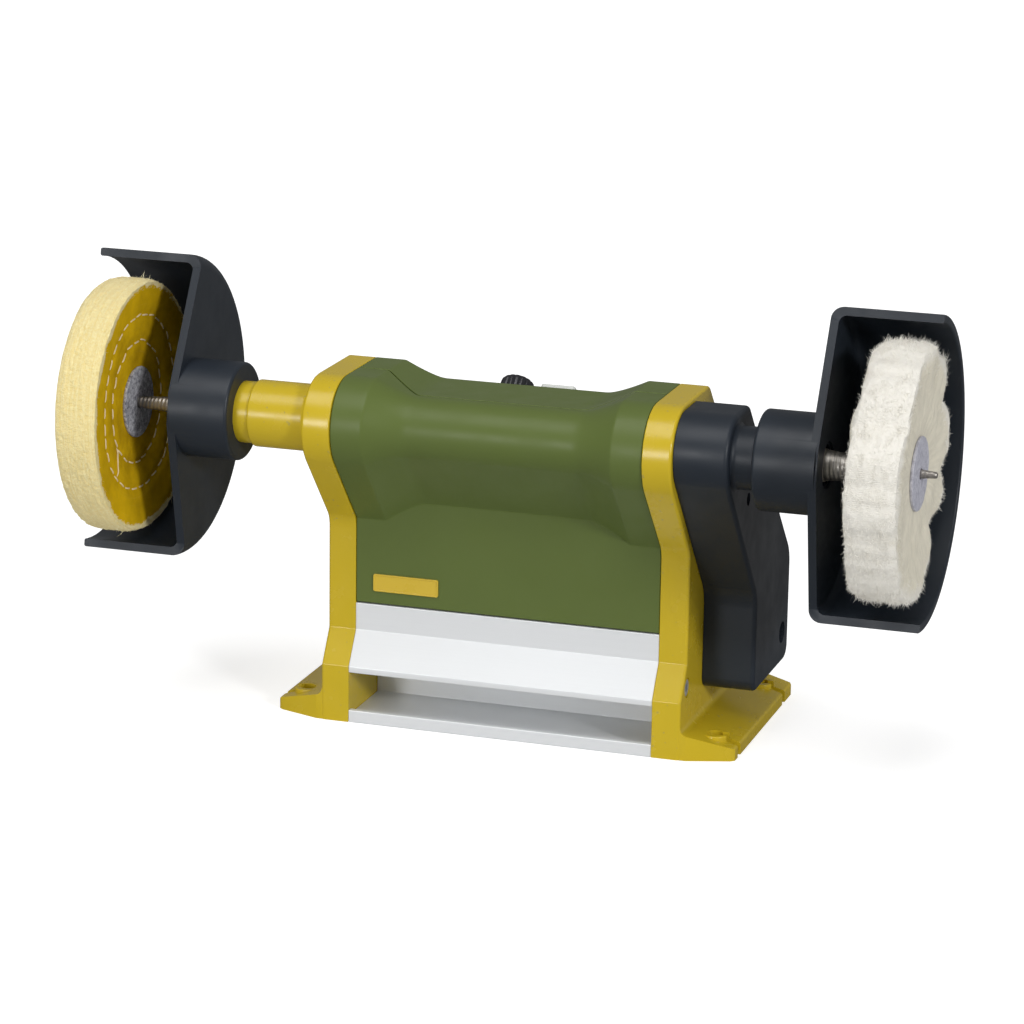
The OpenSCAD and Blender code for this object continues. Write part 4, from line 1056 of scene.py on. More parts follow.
@dataclass
class SideFrame:
    """Cast side frame with a foot, drawn for the right side."""

    side: int
    proud: float = 0.7
    nose_r: float = 19.0
    top_edge_r: float = 6.0
    waist_r: float = 9.0
    rear_waist_r: float = 12.0
    line_r: float = 1.2
    edge_r: float = 1.1
    inner_edge_r: float = 0.4
    crease_r: float = 0.3
    foot_in_h: float = 10.5
    foot_out_h: float = 4.8
    fillet_r: float = 3.0
    bolt_x: float = 84.0
    bolt_y: float = 35.0
    bolt_r: float = 3.2
    slot_w: float = 4.0
    rim_r: float = 5.4
    rim_h: float = 0.9
    screw_y: float = 38.9
    screw_z: float = 26.5
    recess_r: float = 3.9
    recess_d: float = 3.4
    screw_r: float = 2.15
    arm_r: float = 13.1
    arm_end: float = 98.0
    root_r: float = 2.2
    seat_d: float = 6.5

    def outline(self, inset: float) -> list[Flat]:
        """Returns the side view, drawn in by an inset.

        Args:
            inset: How far the outline is drawn in.

        Returns:
            Points (y, z).
        """
        k = LAYOUT
        top = k.spindle_h + k.end_top - inset
        off = k.end_off + self.proud - inset
        front, rear = -k.wall + inset, k.wall - inset
        low_front, low_rear = -k.base_d / 2 + inset, k.base_d / 2 - inset
        shift = inset / cos(k.rear_lean)
        line = k.shelf_top - inset * 0.55
        knee = k.waist_h - inset * 0.28
        out = max(self.line_r - inset, 0.1)
        return rounded([
            (low_front, inset, 0), (low_rear, inset, 0), (low_rear, line, out),
            (rear, knee, self.line_r + inset),
            (rear, k.rear_z(k.end_top, rear + shift), self.rear_waist_r - inset),
            (k.rear_y(k.end_top, top) - shift, top, self.top_edge_r - inset),
            (k.front_y(off, top), top, self.nose_r - inset),
            (front, k.front_z(off, front), self.waist_r + inset),
            (front, knee, self.line_r + inset), (low_front, line, out)], 10)

    def plate(self) -> Piece:
        """Returns the upright plate with rounded edges."""
        k = LAYOUT
        stations = [(k.frame_in + a, b) for a, b in fillet(self.inner_edge_r,
                                                           range(0, 91, 30))]
        stations += [(k.frame_out - b, a) for a, b in fillet(self.edge_r, range(0, 91, 18))]
        rings = [[(x, y, z) for y, z in self.outline(inset)] for x, inset in stations]
        return Modeller.skin("plate", rings, fill=True)

    def foot(self) -> Piece:
        """Returns the foot with its rims, still without holes."""
        k = LAYOUT
        out = k.frame_out + k.foot_l
        knee = corner((k.frame_out, 40), (k.frame_out, self.foot_in_h),
                      (out, self.foot_out_h), self.fillet_r, 8)
        side = [(k.frame_in + 3, 0), (out, 0)]
        side += corner((out, 0), (out, self.foot_out_h),
                       (k.frame_out, self.foot_in_h), 1.3, 4)
        side += list(reversed(knee))
        side += [(k.frame_out - 2, knee[0][1]), (k.frame_in + 3, knee[0][1])]
        half = k.base_d / 2 - 0.25
        foot = Modeller.prism("foot", side, -half, half, FRONT_VIEW)
        front = k.base_d / 2
        plan = [(k.frame_in, -front - 1), (k.frame_out + 1, -front - 0.2),
                (out - 1.5, -front + 6), (out + 0.2, -front + 7.5), (out + 1, front - 2.2),
                (out - 1.2, front + 0.4), (k.frame_in, front + 1)]
        trim = Modeller.prism("trim", plan, -1, 40, PLAN)
        Modeller.combine(foot, trim, Solve.KEEP_COMMON)
        Modeller.soften(foot, 0.9, 38, 3)
        slope = (self.foot_in_h - self.foot_out_h) / k.foot_l
        top = self.foot_out_h + slope * (out - self.bolt_x) + self.rim_h
        for s in (-1, 1):
            up = (Matrix.Translation((self.bolt_x, s * self.bolt_y, 0))
                  @ Matrix.Rotation(-pi / 2, 4, "Y"))
            profile = ([(1.0, self.bolt_r - 1), (1.0, self.rim_r)]
                       + corner((1.0, self.rim_r), (top, self.rim_r),
                                (top, self.bolt_r), 0.6, 4)
                       + [(top, self.bolt_r - 1)])
            rim = Modeller.lathe("rim", profile, up, 48)
            Modeller.combine(foot, rim, Solve.JOIN)
        return foot

    def holes(self) -> list[Piece]:
        """Returns the solids that are cut out of the frame."""
        k = LAYOUT
        out = k.frame_out + k.foot_l
        cutters = []
        for s in (-1, 1):
            at = Matrix.Translation((self.bolt_x, s * self.bolt_y, 0))
            cutters.append(Modeller.rod("hole", self.bolt_r, -1, 20, at))
            w = self.slot_w / 2
            cutters.append(Modeller.box("slot", (self.bolt_x, s * self.bolt_y - w, -1),
                                        (out + 1, s * self.bolt_y + w, 20)))
            into = Matrix.Translation((k.frame_out, s * self.screw_y, self.screw_z)) @ Z_TO_X
            cutters.append(Modeller.rod("recess", self.recess_r, -self.recess_d, 2, into))
            cutters.append(Modeller.rod("bore", self.screw_r, -20, 2, into))
        return cutters

    def arm(self) -> Piece:
        """Returns the left frame's arm and neck, drawn to the right."""
        k = LAYOUT
        r, root = self.root_r, k.frame_out + 0.1
        foot = [(k.frame_out - 2, self.arm_r + r), (root, self.arm_r + r)]
        flare = [(root + a, self.arm_r + b) for a, b in fillet(r, range(15, 91, 15))]
        shoulder = corner((80, self.arm_r), (self.arm_end, self.arm_r),
                          (self.arm_end, k.neck_r), 0.9, 4)
        tip = corner((self.arm_end, k.neck_r), (k.neck_end, k.neck_r), (k.neck_end, 0), 0.5, 3)
        seat = k.neck_end - self.seat_d
        profile = (foot + flare + shoulder + [(self.arm_end, k.neck_r)] + tip
                   + [(k.neck_end, k.seat_r), (seat, k.seat_r), (seat, k.bore_r),
                      (k.frame_out - 2, k.bore_r)])
        return Modeller.lathe("arm", profile)

    def build(self) -> None:
        """Builds and dresses the frame."""
        frame_piece = Modeller.combine(self.plate(), self.foot(), Solve.JOIN)
        if self.side < 0:
            Modeller.combine(frame_piece, self.arm(), Solve.JOIN)
        k = LAYOUT
        # A little wider and shorter than the arm's bore, so that no faces coincide
        bore = Modeller.rod("bore", k.bore_r + 0.05, 0, k.frame_t + 5.5,
                            k.at_spindle(k.frame_in - 5) @ Z_TO_X, 64)
        Modeller.cut(frame_piece, self.holes() + [bore])
        Modeller.flatten(frame_piece)
        Modeller.soften(frame_piece, self.crease_r, 50, 2)
        name = "left_frame" if self.side < 0 else "right_frame"
        if self.side < 0:
            Modeller.move(frame_piece, MIRROR)
        Modeller.shade(frame_piece, 38)
        frame_piece.name = name + "_piece"
        dress(frame_piece, Finishes.YELLOW, "stand", "yellow_paint", name)


# Covers

@dataclass
class Covers:
    """Green front and rear covers that meet in a groove along the top."""

    wall: float = 2.5
    block_l: float = 12.5
    blend_l: float = 16.0
    ease: float = 1.3
    joint_mid: float = 2.7
    joint_end: float = 15.0
    joint_lean: float = radians(30)
    groove: float = 0.4
    lip_r: float = 0.5
    end_nose_r: float = 19.0
    mid_nose_r: float = 13.3
    waist_r: float = 1.2
    rear_waist_r: float = 12.0
    top_edge_r: float = 6.0
    lift: float = 0.55
    end_gap: float = 0.15
    edge_r: float = 0.5
    vents: int = 9
    vent_pitch: float = 5.0
    vent_w: float = 2.2
    vent_low: float = 53.0
    vent_high: float = 71.0
    post_x: float = 28.0
    post_z: float = 100.0
    post_r: float = 6.0
    recess_r: float = 3.9
    bore_r: float = 1.8
    seat_d: float = 9.0
    chamfer: float = 0.35
    gland_x: float = -44.0
    gland_z: float = 60.0
    gland_way_r: float = 5.7

    def share(self, x: float) -> float:
        """Returns how far the section at x is from thick end to slim middle.

        Args:
            x: Place along X.

        Returns:
            0 at a thick end, 1 in the slim middle.
        """
        inner = LAYOUT.frame_in - self.block_l
        t = (inner - abs(x)) / self.blend_l
        reach = 0.55 if t < 0.5 else 2.0
        total = 0.0
        for i in range(-6, 7):
            s = (inner - abs(x) + reach * i / 6) / self.blend_l
            total += 0.0 if s <= 0 else 1.0 if s >= 1 else 1 - (1 - s) ** self.ease
        return total / 13

    def stations(self) -> list[Flat]:
        """Returns places along X with the inset of the section at each."""
        end = LAYOUT.frame_in - self.end_gap
        half = [(end - b, a) for a, b in fillet(self.edge_r, range(90, -1, -30))]
        half += [(x, 0.0) for x in (58, 54, 51.4)]
        half += [(50.5 - 0.3 * i, 0.0) for i in range(8)]
        half += [(48.0 - 1.1 * i, 0.0) for i in range(9)]
        half += [(38.2 - 0.6 * i, 0.0) for i in range(13)]
        half += [(x, 0.0) for x in (28.8, 23.6, 18.6, 13.6, 8.6, 3.6)]
        return half + [(-x, inset) for x, inset in reversed(half)]

    def joint_y(self, x: float, height: float) -> float:
        """Returns y of the groove on the top at x.

        Args:
            x: Place along X.
            height: Height of the top there.

        Returns:
            The place along Y.
        """
        k = LAYOUT
        v_end = ((k.spindle_y + self.joint_end) * cos(self.joint_lean)
                 + (k.spindle_h + k.end_top) * sin(self.joint_lean))
        v_mid = ((k.spindle_y + self.joint_mid) * cos(self.joint_lean)
                 + (k.spindle_h + k.mid_top) * sin(self.joint_lean))
        inner = k.frame_in - self.block_l
        way = sum(within((inner - abs(x) + 0.25 * i) / self.blend_l)
                  for i in range(-4, 5)) / 9
        v = v_end + (v_mid - v_end) * way
        return (v - height * sin(self.joint_lean)) / cos(self.joint_lean)

    def front_row(self, x: float, inset: float) -> list[Place]:
        """Returns the front cover's section at x, from the bottom up.

        Args:
            x: Place along X.
            inset: How far the section is drawn in.

        Returns:
            Points of the section.
        """
        k, s = LAYOUT, self.share(x)
        off = k.end_off + (k.mid_off - k.end_off) * s - inset
        top = k.spindle_h + k.end_top + (k.mid_top - k.end_top) * s - inset
        nose = self.end_nose_r + (self.mid_nose_r - self.end_nose_r) * s - inset
        y = -k.wall + inset
        low = (y, k.base_h + self.lift)
        waist = (y, k.front_z(off, y))
        tip = (k.front_y(off, top), top)
        seam = self.joint_y(x, top) - self.groove
        bend = corner(low, waist, tip, self.waist_r + inset, 8)
        round_nose = corner(waist, tip, (seam, top), nose, 20)
        lip = corner((tip[0], top), (seam, top), (seam, 0), self.lip_r, 4)
        points = ([(y + self.chamfer, low[1]), (y, low[1] + self.chamfer)]
                  + between(low, bend[0], 3) + bend + between(bend[-1], round_nose[0], 3)
                  + round_nose + lip + [(seam, top - 2.2)])
        return [(x, py, pz) for py, pz in points]

    def rear_row(self, x: float, inset: float) -> list[Place]:
        """Returns the rear cover's section at x, from the groove down.

        Args:
            x: Place along X.
            inset: How far the section is drawn in.

        Returns:
            Points of the section.
        """
        k, s = LAYOUT, self.share(x)
        high = k.end_top + (k.mid_top - k.end_top) * s
        top = k.spindle_h + high - inset
        y = k.wall - inset
        shift = inset / cos(k.rear_lean)
        seam = self.joint_y(x, top) + self.groove
        edge = (k.rear_y(high, top) - shift, top)
        waist = (y, k.rear_z(high, y + shift))
        low = (y, k.base_h + self.lift)
        lip = corner((seam, 0), (seam, top), edge, 0.35, 4)
        ridge = corner((seam, top), edge, waist, self.top_edge_r - inset, 10)
        bend = corner(edge, waist, low, self.rear_waist_r - inset, 10)
        points = ([(seam, top - 2.2)] + lip + between(lip[-1], ridge[0], 2) + ridge
                  + between(ridge[-1], bend[0], 4) + bend + between(bend[-1], low, 4)
                  + [(y, low[1] + self.chamfer), (y - self.chamfer, low[1])])
        return [(x, py, pz) for py, pz in points]

    def shell(self, name: str, row: Callable[[float, float], list[Place]],
              kept: slice) -> Piece:
        """Returns a cover as a shell, whose inside follows the kept points of each row."""
        return Modeller.skin(name, [row(x, inset) + row(x, self.wall)[kept][::-1]
                                    for x, inset in self.stations()], fill=True)

    def rear_holes(self) -> list[Piece]:
        """Returns what is cut out of the rear cover."""
        k = LAYOUT
        cutters = []
        back = Matrix.Translation((0, k.wall, 0)) @ Z_TO_BACK
        r = self.vent_w / 2 * 0.98
        for i in range(self.vents):
            x = i * self.vent_pitch
            slot = [(a, b, r) for a, b in ((x, -self.vent_high),
                                           (x + self.vent_w, -self.vent_high),
                                           (x + self.vent_w, -self.vent_low),
                                           (x, -self.vent_low))]
            cutters.append(Modeller.prism("vent", rounded(slot, 5), -6, 6, back))
        at = Matrix.Translation((self.gland_x, k.wall, self.gland_z)) @ Z_TO_BACK
        cutters.append(Modeller.rod("gland_way", self.gland_way_r, -6, 6, at))
        cutters.append(Modeller.rod("dial_way", 4.1, -5, 5,
                                    k.on_slope(SpeedDial.x, SpeedDial.down)))
        cutters.append(Modeller.box("switch_way", (-6, -9, -5), (6, 9, 5),
                                    k.on_slope(Switch.x, Switch.down)))
        return cutters

    def post(self, side: int) -> Piece:
        """Returns a screw post's sleeve in the rear cover.

        Args:
            side: -1 for the left post, 1 for the right one.

        Returns:
            The sleeve.
        """
        k = LAYOUT
        end = k.rear_y(k.mid_top, self.post_z)
        place = Matrix.Translation((side * self.post_x, 0, self.post_z)) @ X_TO_BACK
        low, seat, high = end - 14, end - self.seat_d, end + 1.5
        profile = [(low, self.post_r), (high, self.post_r), (high, self.recess_r),
                   (seat, self.recess_r), (seat, self.bore_r), (low, self.bore_r)]
        return Modeller.lathe("post", profile, place, 48)

    def build(self) -> None:
        """Builds and dresses both covers."""
        front = self.shell("front_cover_piece", self.front_row, slice(None, -5))
        Modeller.shade(front, 40)
        dress(front, Finishes.GREEN, "stand", "green_plastic", "front_cover")
        rear = self.shell("rear_cover_piece", self.rear_row, slice(5, None))
        k = LAYOUT
        end = k.rear_y(k.mid_top, self.post_z)
        for side in (-1, 1):
            at = Matrix.Translation((side * self.post_x, 0, self.post_z)) @ Z_TO_BACK
            Modeller.cut(rear, [Modeller.rod("way", self.recess_r + 0.05, end - 12, end + 20,
                                             at)])
        Modeller.cut(rear, self.rear_holes())
        top, low, far, inset = k.spindle_h + k.mid_top - 0.3, 40, -200, 0.6
        under = [(far, top), (k.rear_y(k.mid_top, top), top),
                 (k.rear_y(k.mid_top, low) - 0.4, low), (far, low)]
        outline = [(y - inset, z - inset) for y, z in under]
        posts = [Modeller.combine(self.post(side), Modeller.prism("limit", outline, -60, 60),
                                  Solve.KEEP_COMMON) for side in (-1, 1)]
        rear = Modeller.join("rear_cover_piece", [rear] + posts)
        Modeller.shade(rear, 40)
        dress(rear, Finishes.GREEN, "stand", "green_plastic", "rear_cover")


@dataclass
class Badge:
    """Bare enamelled plate on the front cover."""

    x: float = -54.5
    z: float = 52.7
    w: float = 26.8
    h: float = 7.0
    t: float = 0.8
    rim: float = 0.6
    field_d: float = 0.25

    def rectangle(self, inset: float, r: float, steps: int) -> list[Flat]:
        """Returns the plate's outline with rounded corners, drawn in by an inset."""
        return rounded([(inset, inset, r), (self.w - inset, inset, r),
                        (self.w - inset, self.h - inset, r), (inset, self.h - inset, r)],
                       steps)

    def build(self) -> None:
        """Builds and dresses the badge."""
        face = (Matrix.Translation((self.x, -LAYOUT.wall, self.z))
                @ Matrix.Rotation(pi / 2, 4, "X"))
        plate = Modeller.prism("badge_piece", self.rectangle(0, 0.8, 5), 0, self.t, face)
        Modeller.cut(plate, [Modeller.prism("field", self.rectangle(self.rim, 0.4, 4),
                                            self.t - self.field_d, self.t + 1, face)])
        Modeller.soften(plate, 0.12, 40, 2)
        Modeller.shade(plate)
        dress(plate, Finishes.BADGE, "stand", "badge_enamel", "badge")


# Belt cover

@dataclass
class BeltCover:
    """Black cover of the belt, with the neck that carries the right hood."""

    wall: float = 2.0
    head_r: float = 15.9
    head_rise: float = 0.6
    front: float = 31.0
    back: float = 22.5
    below: float = 28.0
    edge_r: float = 5.0
    heel_r: float = 6.0
    waist_r: float = 14.0
    rim_r: float = 1.8
    root_r: float = 2.2
    seat_d: float = 5.0
    boss_t: float = 1.3
    recess_d: float = 4.0
    recesses: tuple[Place, ...] = ((25.0, 33.0, 4.4), (-36.0, 103.0, 2.6))

    def outline(self, inset: float) -> list[Flat]:
        """Returns the side view, drawn in by an inset.

        Args:
            inset: How far the outline is drawn in.

        Returns:
            Points (y, z).
        """
        k = LAYOUT
        lean = atan2(k.motor_y - k.spindle_y, k.spindle_h - k.motor_h)
        top = k.spindle_h + self.head_r + self.head_rise - inset
        off = self.head_r - inset
        front, rear = k.motor_y - self.front + inset, k.motor_y + self.back - inset
        low = k.motor_h - self.below + inset
        rear_edge = self.head_r - inset * tan(k.rear_lean / 2)
        run = rear - k.spindle_y - rear_edge
        head_y = k.spindle_y + (k.spindle_h - top) * tan(lean) - off / cos(lean)
        waist_z = k.spindle_h - (front - k.spindle_y + off / cos(lean)) / tan(lean)
        return rounded([
            (front, low, self.edge_r - inset), (rear, low, self.heel_r - inset),
            (rear, top - run / tan(k.rear_lean), self.waist_r - inset),
            (k.spindle_y + rear_edge, top, self.edge_r - inset),
            (head_y, top, self.head_r - inset), (front, waist_z, self.waist_r + inset)], 14)

    def build(self) -> None:
        """Builds and dresses the belt cover."""
        k = LAYOUT
        seat = k.frame_out + 0.12
        stations = [(seat, 0.15), (seat + 0.3, 0.0), (seat + 8, 0.0)]
        stations += [(k.belt_out - b, a) for a, b in fillet(self.rim_r, range(0, 91, 15))]
        rings = [[(x, y, z) for y, z in self.outline(inset)] for x, inset in stations]
        cover = Modeller.skin("belt_cover_piece", rings, fill=True)
        hollow = Modeller.prism("hollow", self.outline(self.wall), seat - 1,
                                k.belt_out - self.wall)
        Modeller.cut(cover, [hollow])
        Modeller.combine(cover, self.neck(), Solve.JOIN)
        cutters = []
        for y, z, r in self.recesses:
            at = Matrix.Translation((k.belt_out, y, z)) @ Z_TO_X
            Modeller.combine(cover, Modeller.rod("boss", r + self.boss_t, -20, -0.6, at),
                             Solve.JOIN)
            cutters.append(Modeller.rod("recess", r, -self.recess_d, 3, at))
        Modeller.cut(cover, cutters)
        Modeller.flatten(cover)
        Modeller.shade(cover, 35)
        dress(cover, Finishes.CHARCOAL, "stand", "black_plastic", "belt_cover")

    def neck(self) -> Piece:
        """Returns the neck with a fillet at its root."""
        k, r = LAYOUT, self.root_r
        root = k.belt_out - 0.3
        flare = [(root + a, k.neck_r + b) for a, b in fillet(r, range(0, 91, 15))]
        tip = corner((root, k.neck_r), (k.neck_end, k.neck_r), (k.neck_end, 0), 0.5, 3)
        seat = k.neck_end - self.seat_d
        profile = ([(root - 1.2, k.neck_r + r)] + flare + tip
                   + [(k.neck_end, k.seat_r), (seat, k.seat_r), (seat, k.bore_r),
                      (root - 1.2, k.bore_r)])
        return Modeller.lathe("neck", profile)


# Hoods

@dataclass
class Hood:
    """Swivelling hood, drawn upright for the right side."""

    side: int
    x: float = 125.4
    w: float = 42.5
    r: float = 59.0
    wall: float = 3.2
    edge_r: float = 5.0
    boss_r: float = 19.2
    boss_l: float = 21.6
    tilt: float = radians(10)
    lip: float = 0.8
    inner_r: float = 3.0
    way_r: float = 8.0
    drum_start: float = 1.9
    boss_turn: float = radians(1.1)

    def section(self) -> list[Flat]:
        """Returns the section of the half drum as (x, radius)."""
        x0, x1, r0, r1 = self.x, self.x + self.w, self.r - self.wall, self.r
        inner = self.x + self.wall
        hole = 9.0
        points = [(x0, hole)]
        points += corner((x0, 0), (x0, r1), (x1, r1), self.edge_r, 10)
        points += corner((x0, r1), (x1, r1), (x1, r0), self.lip, 4)
        points += corner((x1, r1), (x1, r0), (inner, r0), self.lip, 4)
        points += corner((x1, r0), (inner, r0), (inner, 0), self.inner_r, 8)
        return points + [(inner, hole)]

    def build(self) -> None:
        """Builds and dresses the hood."""
        k = LAYOUT
        # The drum and the boss start at odd angles, so that no faces coincide
        drum = Modeller.lathe("drum", self.section(), PLAN, 96, self.drum_start)
        reach = self.boss_r - 0.2
        touch = pi / 2 + acos(reach / self.r)
        ty, tz = reach * cos(touch), reach * sin(touch)
        rim, far = self.r - self.edge_r, self.r + 5
        Modeller.cut(drum, [Modeller.prism(
            "front", [(0, far), (-far, far), (-far, -far), (0, -far), (0, -rim), (ty, -tz),
                      (ty, tz), (0, rim)], self.x - 1, self.x + self.w + 1)])
        start, inner, middle = self.x - self.boss_l, self.x + self.wall, 3.0
        end = inner - 0.9
        boss = [(start, middle)]
        boss += corner((start, 0), (start, self.boss_r), (end, self.boss_r), 1.4, 6)
        boss += [(end, self.boss_r), (end, middle)]
        Modeller.combine(drum, Modeller.lathe("boss", boss, Matrix.Rotation(
            self.boss_turn, 4, "X"), 96), Solve.JOIN)
        back = Matrix.Translation((self.x - self.boss_l / 2, 0, 0)) @ Z_TO_BACK
        Modeller.cut(drum, [
            Modeller.rod("bore", k.neck_r + 0.06, start - 1, k.neck_end + 0.4, Z_TO_X, 96),
            Modeller.rod("way", self.way_r, start - 1, inner + 1, Z_TO_X, 64),
            Modeller.rod("screw_way", 2.05, 8, 30, back)])
        Modeller.flatten(drum)
        Modeller.soften(drum, 0.55, 50, 3)
        Modeller.move(drum, self.place())
        Modeller.shade(drum, 35)
        name = "left_hood" if self.side < 0 else "right_hood"
        drum.name = name + "_piece"
        dress(drum, Finishes.CHARCOAL, name, "black_plastic", name)

    def place(self) -> Matrix:
        """Returns the move from the upright drawing to the hood at rest."""
        mirror = MIRROR if self.side < 0 else PLAN
        return mirror @ LAYOUT.at_spindle() @ Matrix.Rotation(-self.tilt, 4, "X")


# Wheels

@dataclass
class ClothWheel:
    """Polishing wheel of cloth, puffed out beside its hub discs."""

    x: float = 0.0
    w: float = 17.0
    r: float = 50.0
    bore: float = 5.0
    dish: float = 3.0
    hub_r: float = 14.0
    steps: int = 288

    def dished(self, r: float) -> float:
        """Returns how far the cloth at a radius leans along +X."""
        return self.dish * within((r - self.hub_r) / (self.r - self.hub_r), 1.1) ** 1.4

    def bend(self, r: float, angle: float) -> float:
        """Returns how far the cloth at a place hangs back along -X, which is not at all here.
        """
        return 0.0

    def side_x(self, r: float, angle: float, side: int) -> float:
        """Returns a side's place at a radius, from the wheel's middle."""
        return side * self.w / 2 + self.dished(r)

    def rim_at(self, x: float, angle: float) -> float:
        """Returns the rim's radius at a place across the width."""
        return self.r

    def edge_r(self, angle: float) -> float:
        """Returns the radius at which the sides pass into the rim."""
        return self.r - 1.6

    def body(self, name: str) -> Piece:
        """Returns the wheel without threads and fibres.

        Args:
            name: Name of the piece.

        Returns:
            The new object, closed at the bore.
        """
        shares = [0, 0.06, 0.14, 0.2, 0.25, 0.3, 0.34, 0.37, 0.395, 0.42, 0.445, 0.47, 0.5,
                  0.55, 0.59, 0.62, 0.645, 0.67, 0.69, 0.72, 0.76, 0.8, 0.84, 0.87, 0.9, 0.93,
                  0.96, 0.985, 1.0]
        across = [i / 36 - 0.5 for i in range(1, 36)]
        rings = []
        for i in range(self.steps):
            a = 2 * pi * i / self.steps
            edge = self.edge_r(a)
            radii = [self.bore + (edge - self.bore) * t for t in shares]
            row = [(self.side_x(r, a, -1), r) for r in radii]
            row += [(t * self.w + self.dished(self.r) - self.bend(self.r, a),
                     self.rim_at(t * self.w, a)) for t in across]
            row += [(self.side_x(r, a, 1), r) for r in reversed(radii)]
            rings.append([LAYOUT.round_spindle(self.x + x, r, a) for x, r in row])
        rings.append(rings[0])
        return Modeller.skin(name, rings)


@dataclass
class StitchedWheel(ClothWheel):
    """Left wheel: treated cotton plies held by rings of stitches."""

    x: float = -157.5
    bore: float = LAYOUT.taper_r(-1, 157.5) + 0.25
    dish: float = 3.9
    ply: float = 1.35
    rings: tuple[float, float] = (24.0, 34.5)
    dip: float = 0.75
    sag: float = 1.5
    thread_r: float = 0.33

    def lobe(self, x: float, angle: float) -> float:
        """Returns how far the outer plies stand out at the lower rear."""
        serrated = 0.35 * abs((turn_from(angle, 214) * 22) % 2 - 1)
        return within(x / self.w + 0.35) * (2.4 + serrated) * hump(angle, 214, 0.42)

    def edge_r(self, angle: float) -> float:
        """Returns the radius at which the sides pass into the rim."""
        return (self.r - 1.9 - self.sag * cos(angle) + 0.5 * self.lobe(self.w / 2, angle)
                + 0.5 * rough_round(5, angle, 2.0) + 0.35 * rough_round(26, angle, 4.0))

    def side_x(self, r: float, angle: float, side: int) -> float:
        """Returns a side's place at a radius, from the wheel's middle.

        Args:
            r: Radius.
            angle: Angle from +Z.
            side: -1 or 1 for the low or the high side.

        Returns:
            The place.
        """
        half = self.w / 2
        for ring in self.rings:
            wobble = 0.5 * rough_round(2.0, angle, ring)
            half -= self.dip * exp(-((r - ring - wobble) / 1.5) ** 2)
        swell = 0.45 * rough(2.3 * cos(angle) + side, 2.3 * sin(angle), r / 14)
        crumple = 0.16 * rough(r / 2.2, 9 * cos(angle), 9 * sin(angle) + side)
        fade = within((r - self.hub_r) / 6)
        droop = 0.6 * max(0.0, (r - 44) / 6) ** 2
        return side * (half + fade * (swell + crumple) - droop) + self.dished(r)

    def rim_at(self, x: float, angle: float) -> float:
        """Returns the rim's radius at a place across the width.

        Args:
            x: Place from the wheel's middle.
            angle: Angle from +Z.

        Returns:
            The radius.
        """
        groove = 0.13 * abs(sin(pi * (x / self.ply + 0.9 * rough_round(2.6, angle, x / 5))))
        fray = 0.5 * rough_round(34, angle, x * 0.7)
        lump = 0.35 * rough_round(3, angle, 7.0)
        round_off = 1.3 * (abs(x) / (self.w / 2)) ** 4
        return (self.r - 0.3 - groove + fray + lump - round_off - self.sag * cos(angle)
                + self.lobe(x, angle))

    def on_side(self, r: float, angle: float, side: int, lift: float) -> Place:
        """Returns a point at a height above a side."""
        x = self.side_x(r, angle, side) + side * lift
        return LAYOUT.round_spindle(self.x + x, r, angle)

    def stitch(self, ring: float, mid: float, length: float, side: int, off: float,
               lean: float) -> Piece:
        """Returns one stitch, whose ends go into the cloth.

        Args:
            ring: Radius of its ring.
            mid: Angle of its middle.
            length: Angle that it spans.
            side: Side of the wheel that it shows on.
            off: Its distance from the ring.
            lean: How far it leans out of the ring.

        Returns:
            The new object.
        """
        path = []
        for j in range(8):
            t = j / 7 - 0.5
            a = mid + length * t
            wobble = 0.5 * rough_round(2.0, a, ring)
            lift = 0.28 - 1.0 * (abs(t) * 2) ** 6
            path.append(self.on_side(ring + wobble + off + lean * t * 2, a, side, lift))
        return Modeller.thread("stitch", path, self.thread_r)

    def stitches(self) -> Piece:
        """Returns both rings of stitches on both sides, and the cross stitch."""
        rng = random.Random(11)
        threads = []
        for side in (-1, 1):
            for ring, count in zip(self.rings, (24, 34)):
                for i in range(count):
                    mid = 2 * pi * (i + rng.uniform(-0.08, 0.08)) / count
                    long = (5.1 + rng.uniform(-0.4, 0.5)) / ring
                    threads.append(self.stitch(ring, mid, long, side,
                                               rng.uniform(-0.35, 0.35),
                                               rng.uniform(-0.35, 0.35)))
        shares = [j / 13 for j in range(14)]
        path = [self.on_side(self.rings[0] + 0.4 + 9.8 * t, radians(123 + 15 * t), 1,
                             0.22 - 1.1 * abs(2 * t - 1) ** 8) for t in shares]
        threads.append(Modeller.thread("stitch", path, self.thread_r))
        return Modeller.join("left_wheel_stitches", threads)

    def frays(self) -> Piece:
        """Returns short fibres and a few loose threads round the rim."""
        rng = random.Random(23)
        fluff = Fluff(rng)
        lean = self.dished(self.r)
        for _ in range(2200):
            a = rng.uniform(0, 2 * pi)
            x = rng.uniform(-0.5, 0.5) * self.w
            fluff.blade(self.x + x + lean, self.rim_at(x, a) - 0.25, a,
                        rng.uniform(0.4, 1.2), 0.1)
        for _ in range(900):
            a = rng.uniform(0, 2 * pi)
            r = self.edge_r(a) - rng.uniform(0.0, 2.2)
            fluff.blade(self.x + self.side_x(r, a, 1) - 0.1, r, a, rng.uniform(0.6, 1.6), 0.1,
                        out=0.8)
        for _ in range(26):
            a = rng.choice((rng.gauss(6.1, 0.12), rng.gauss(3.7, 0.3), rng.uniform(0, 6.3)))
            x = rng.uniform(0.2, 0.5) * self.w
            fluff.blade(self.x + x + lean, self.rim_at(x, a) - 0.3, a, rng.uniform(2, 4.4),
                        0.16)
        return fluff.build("left_wheel_fray")

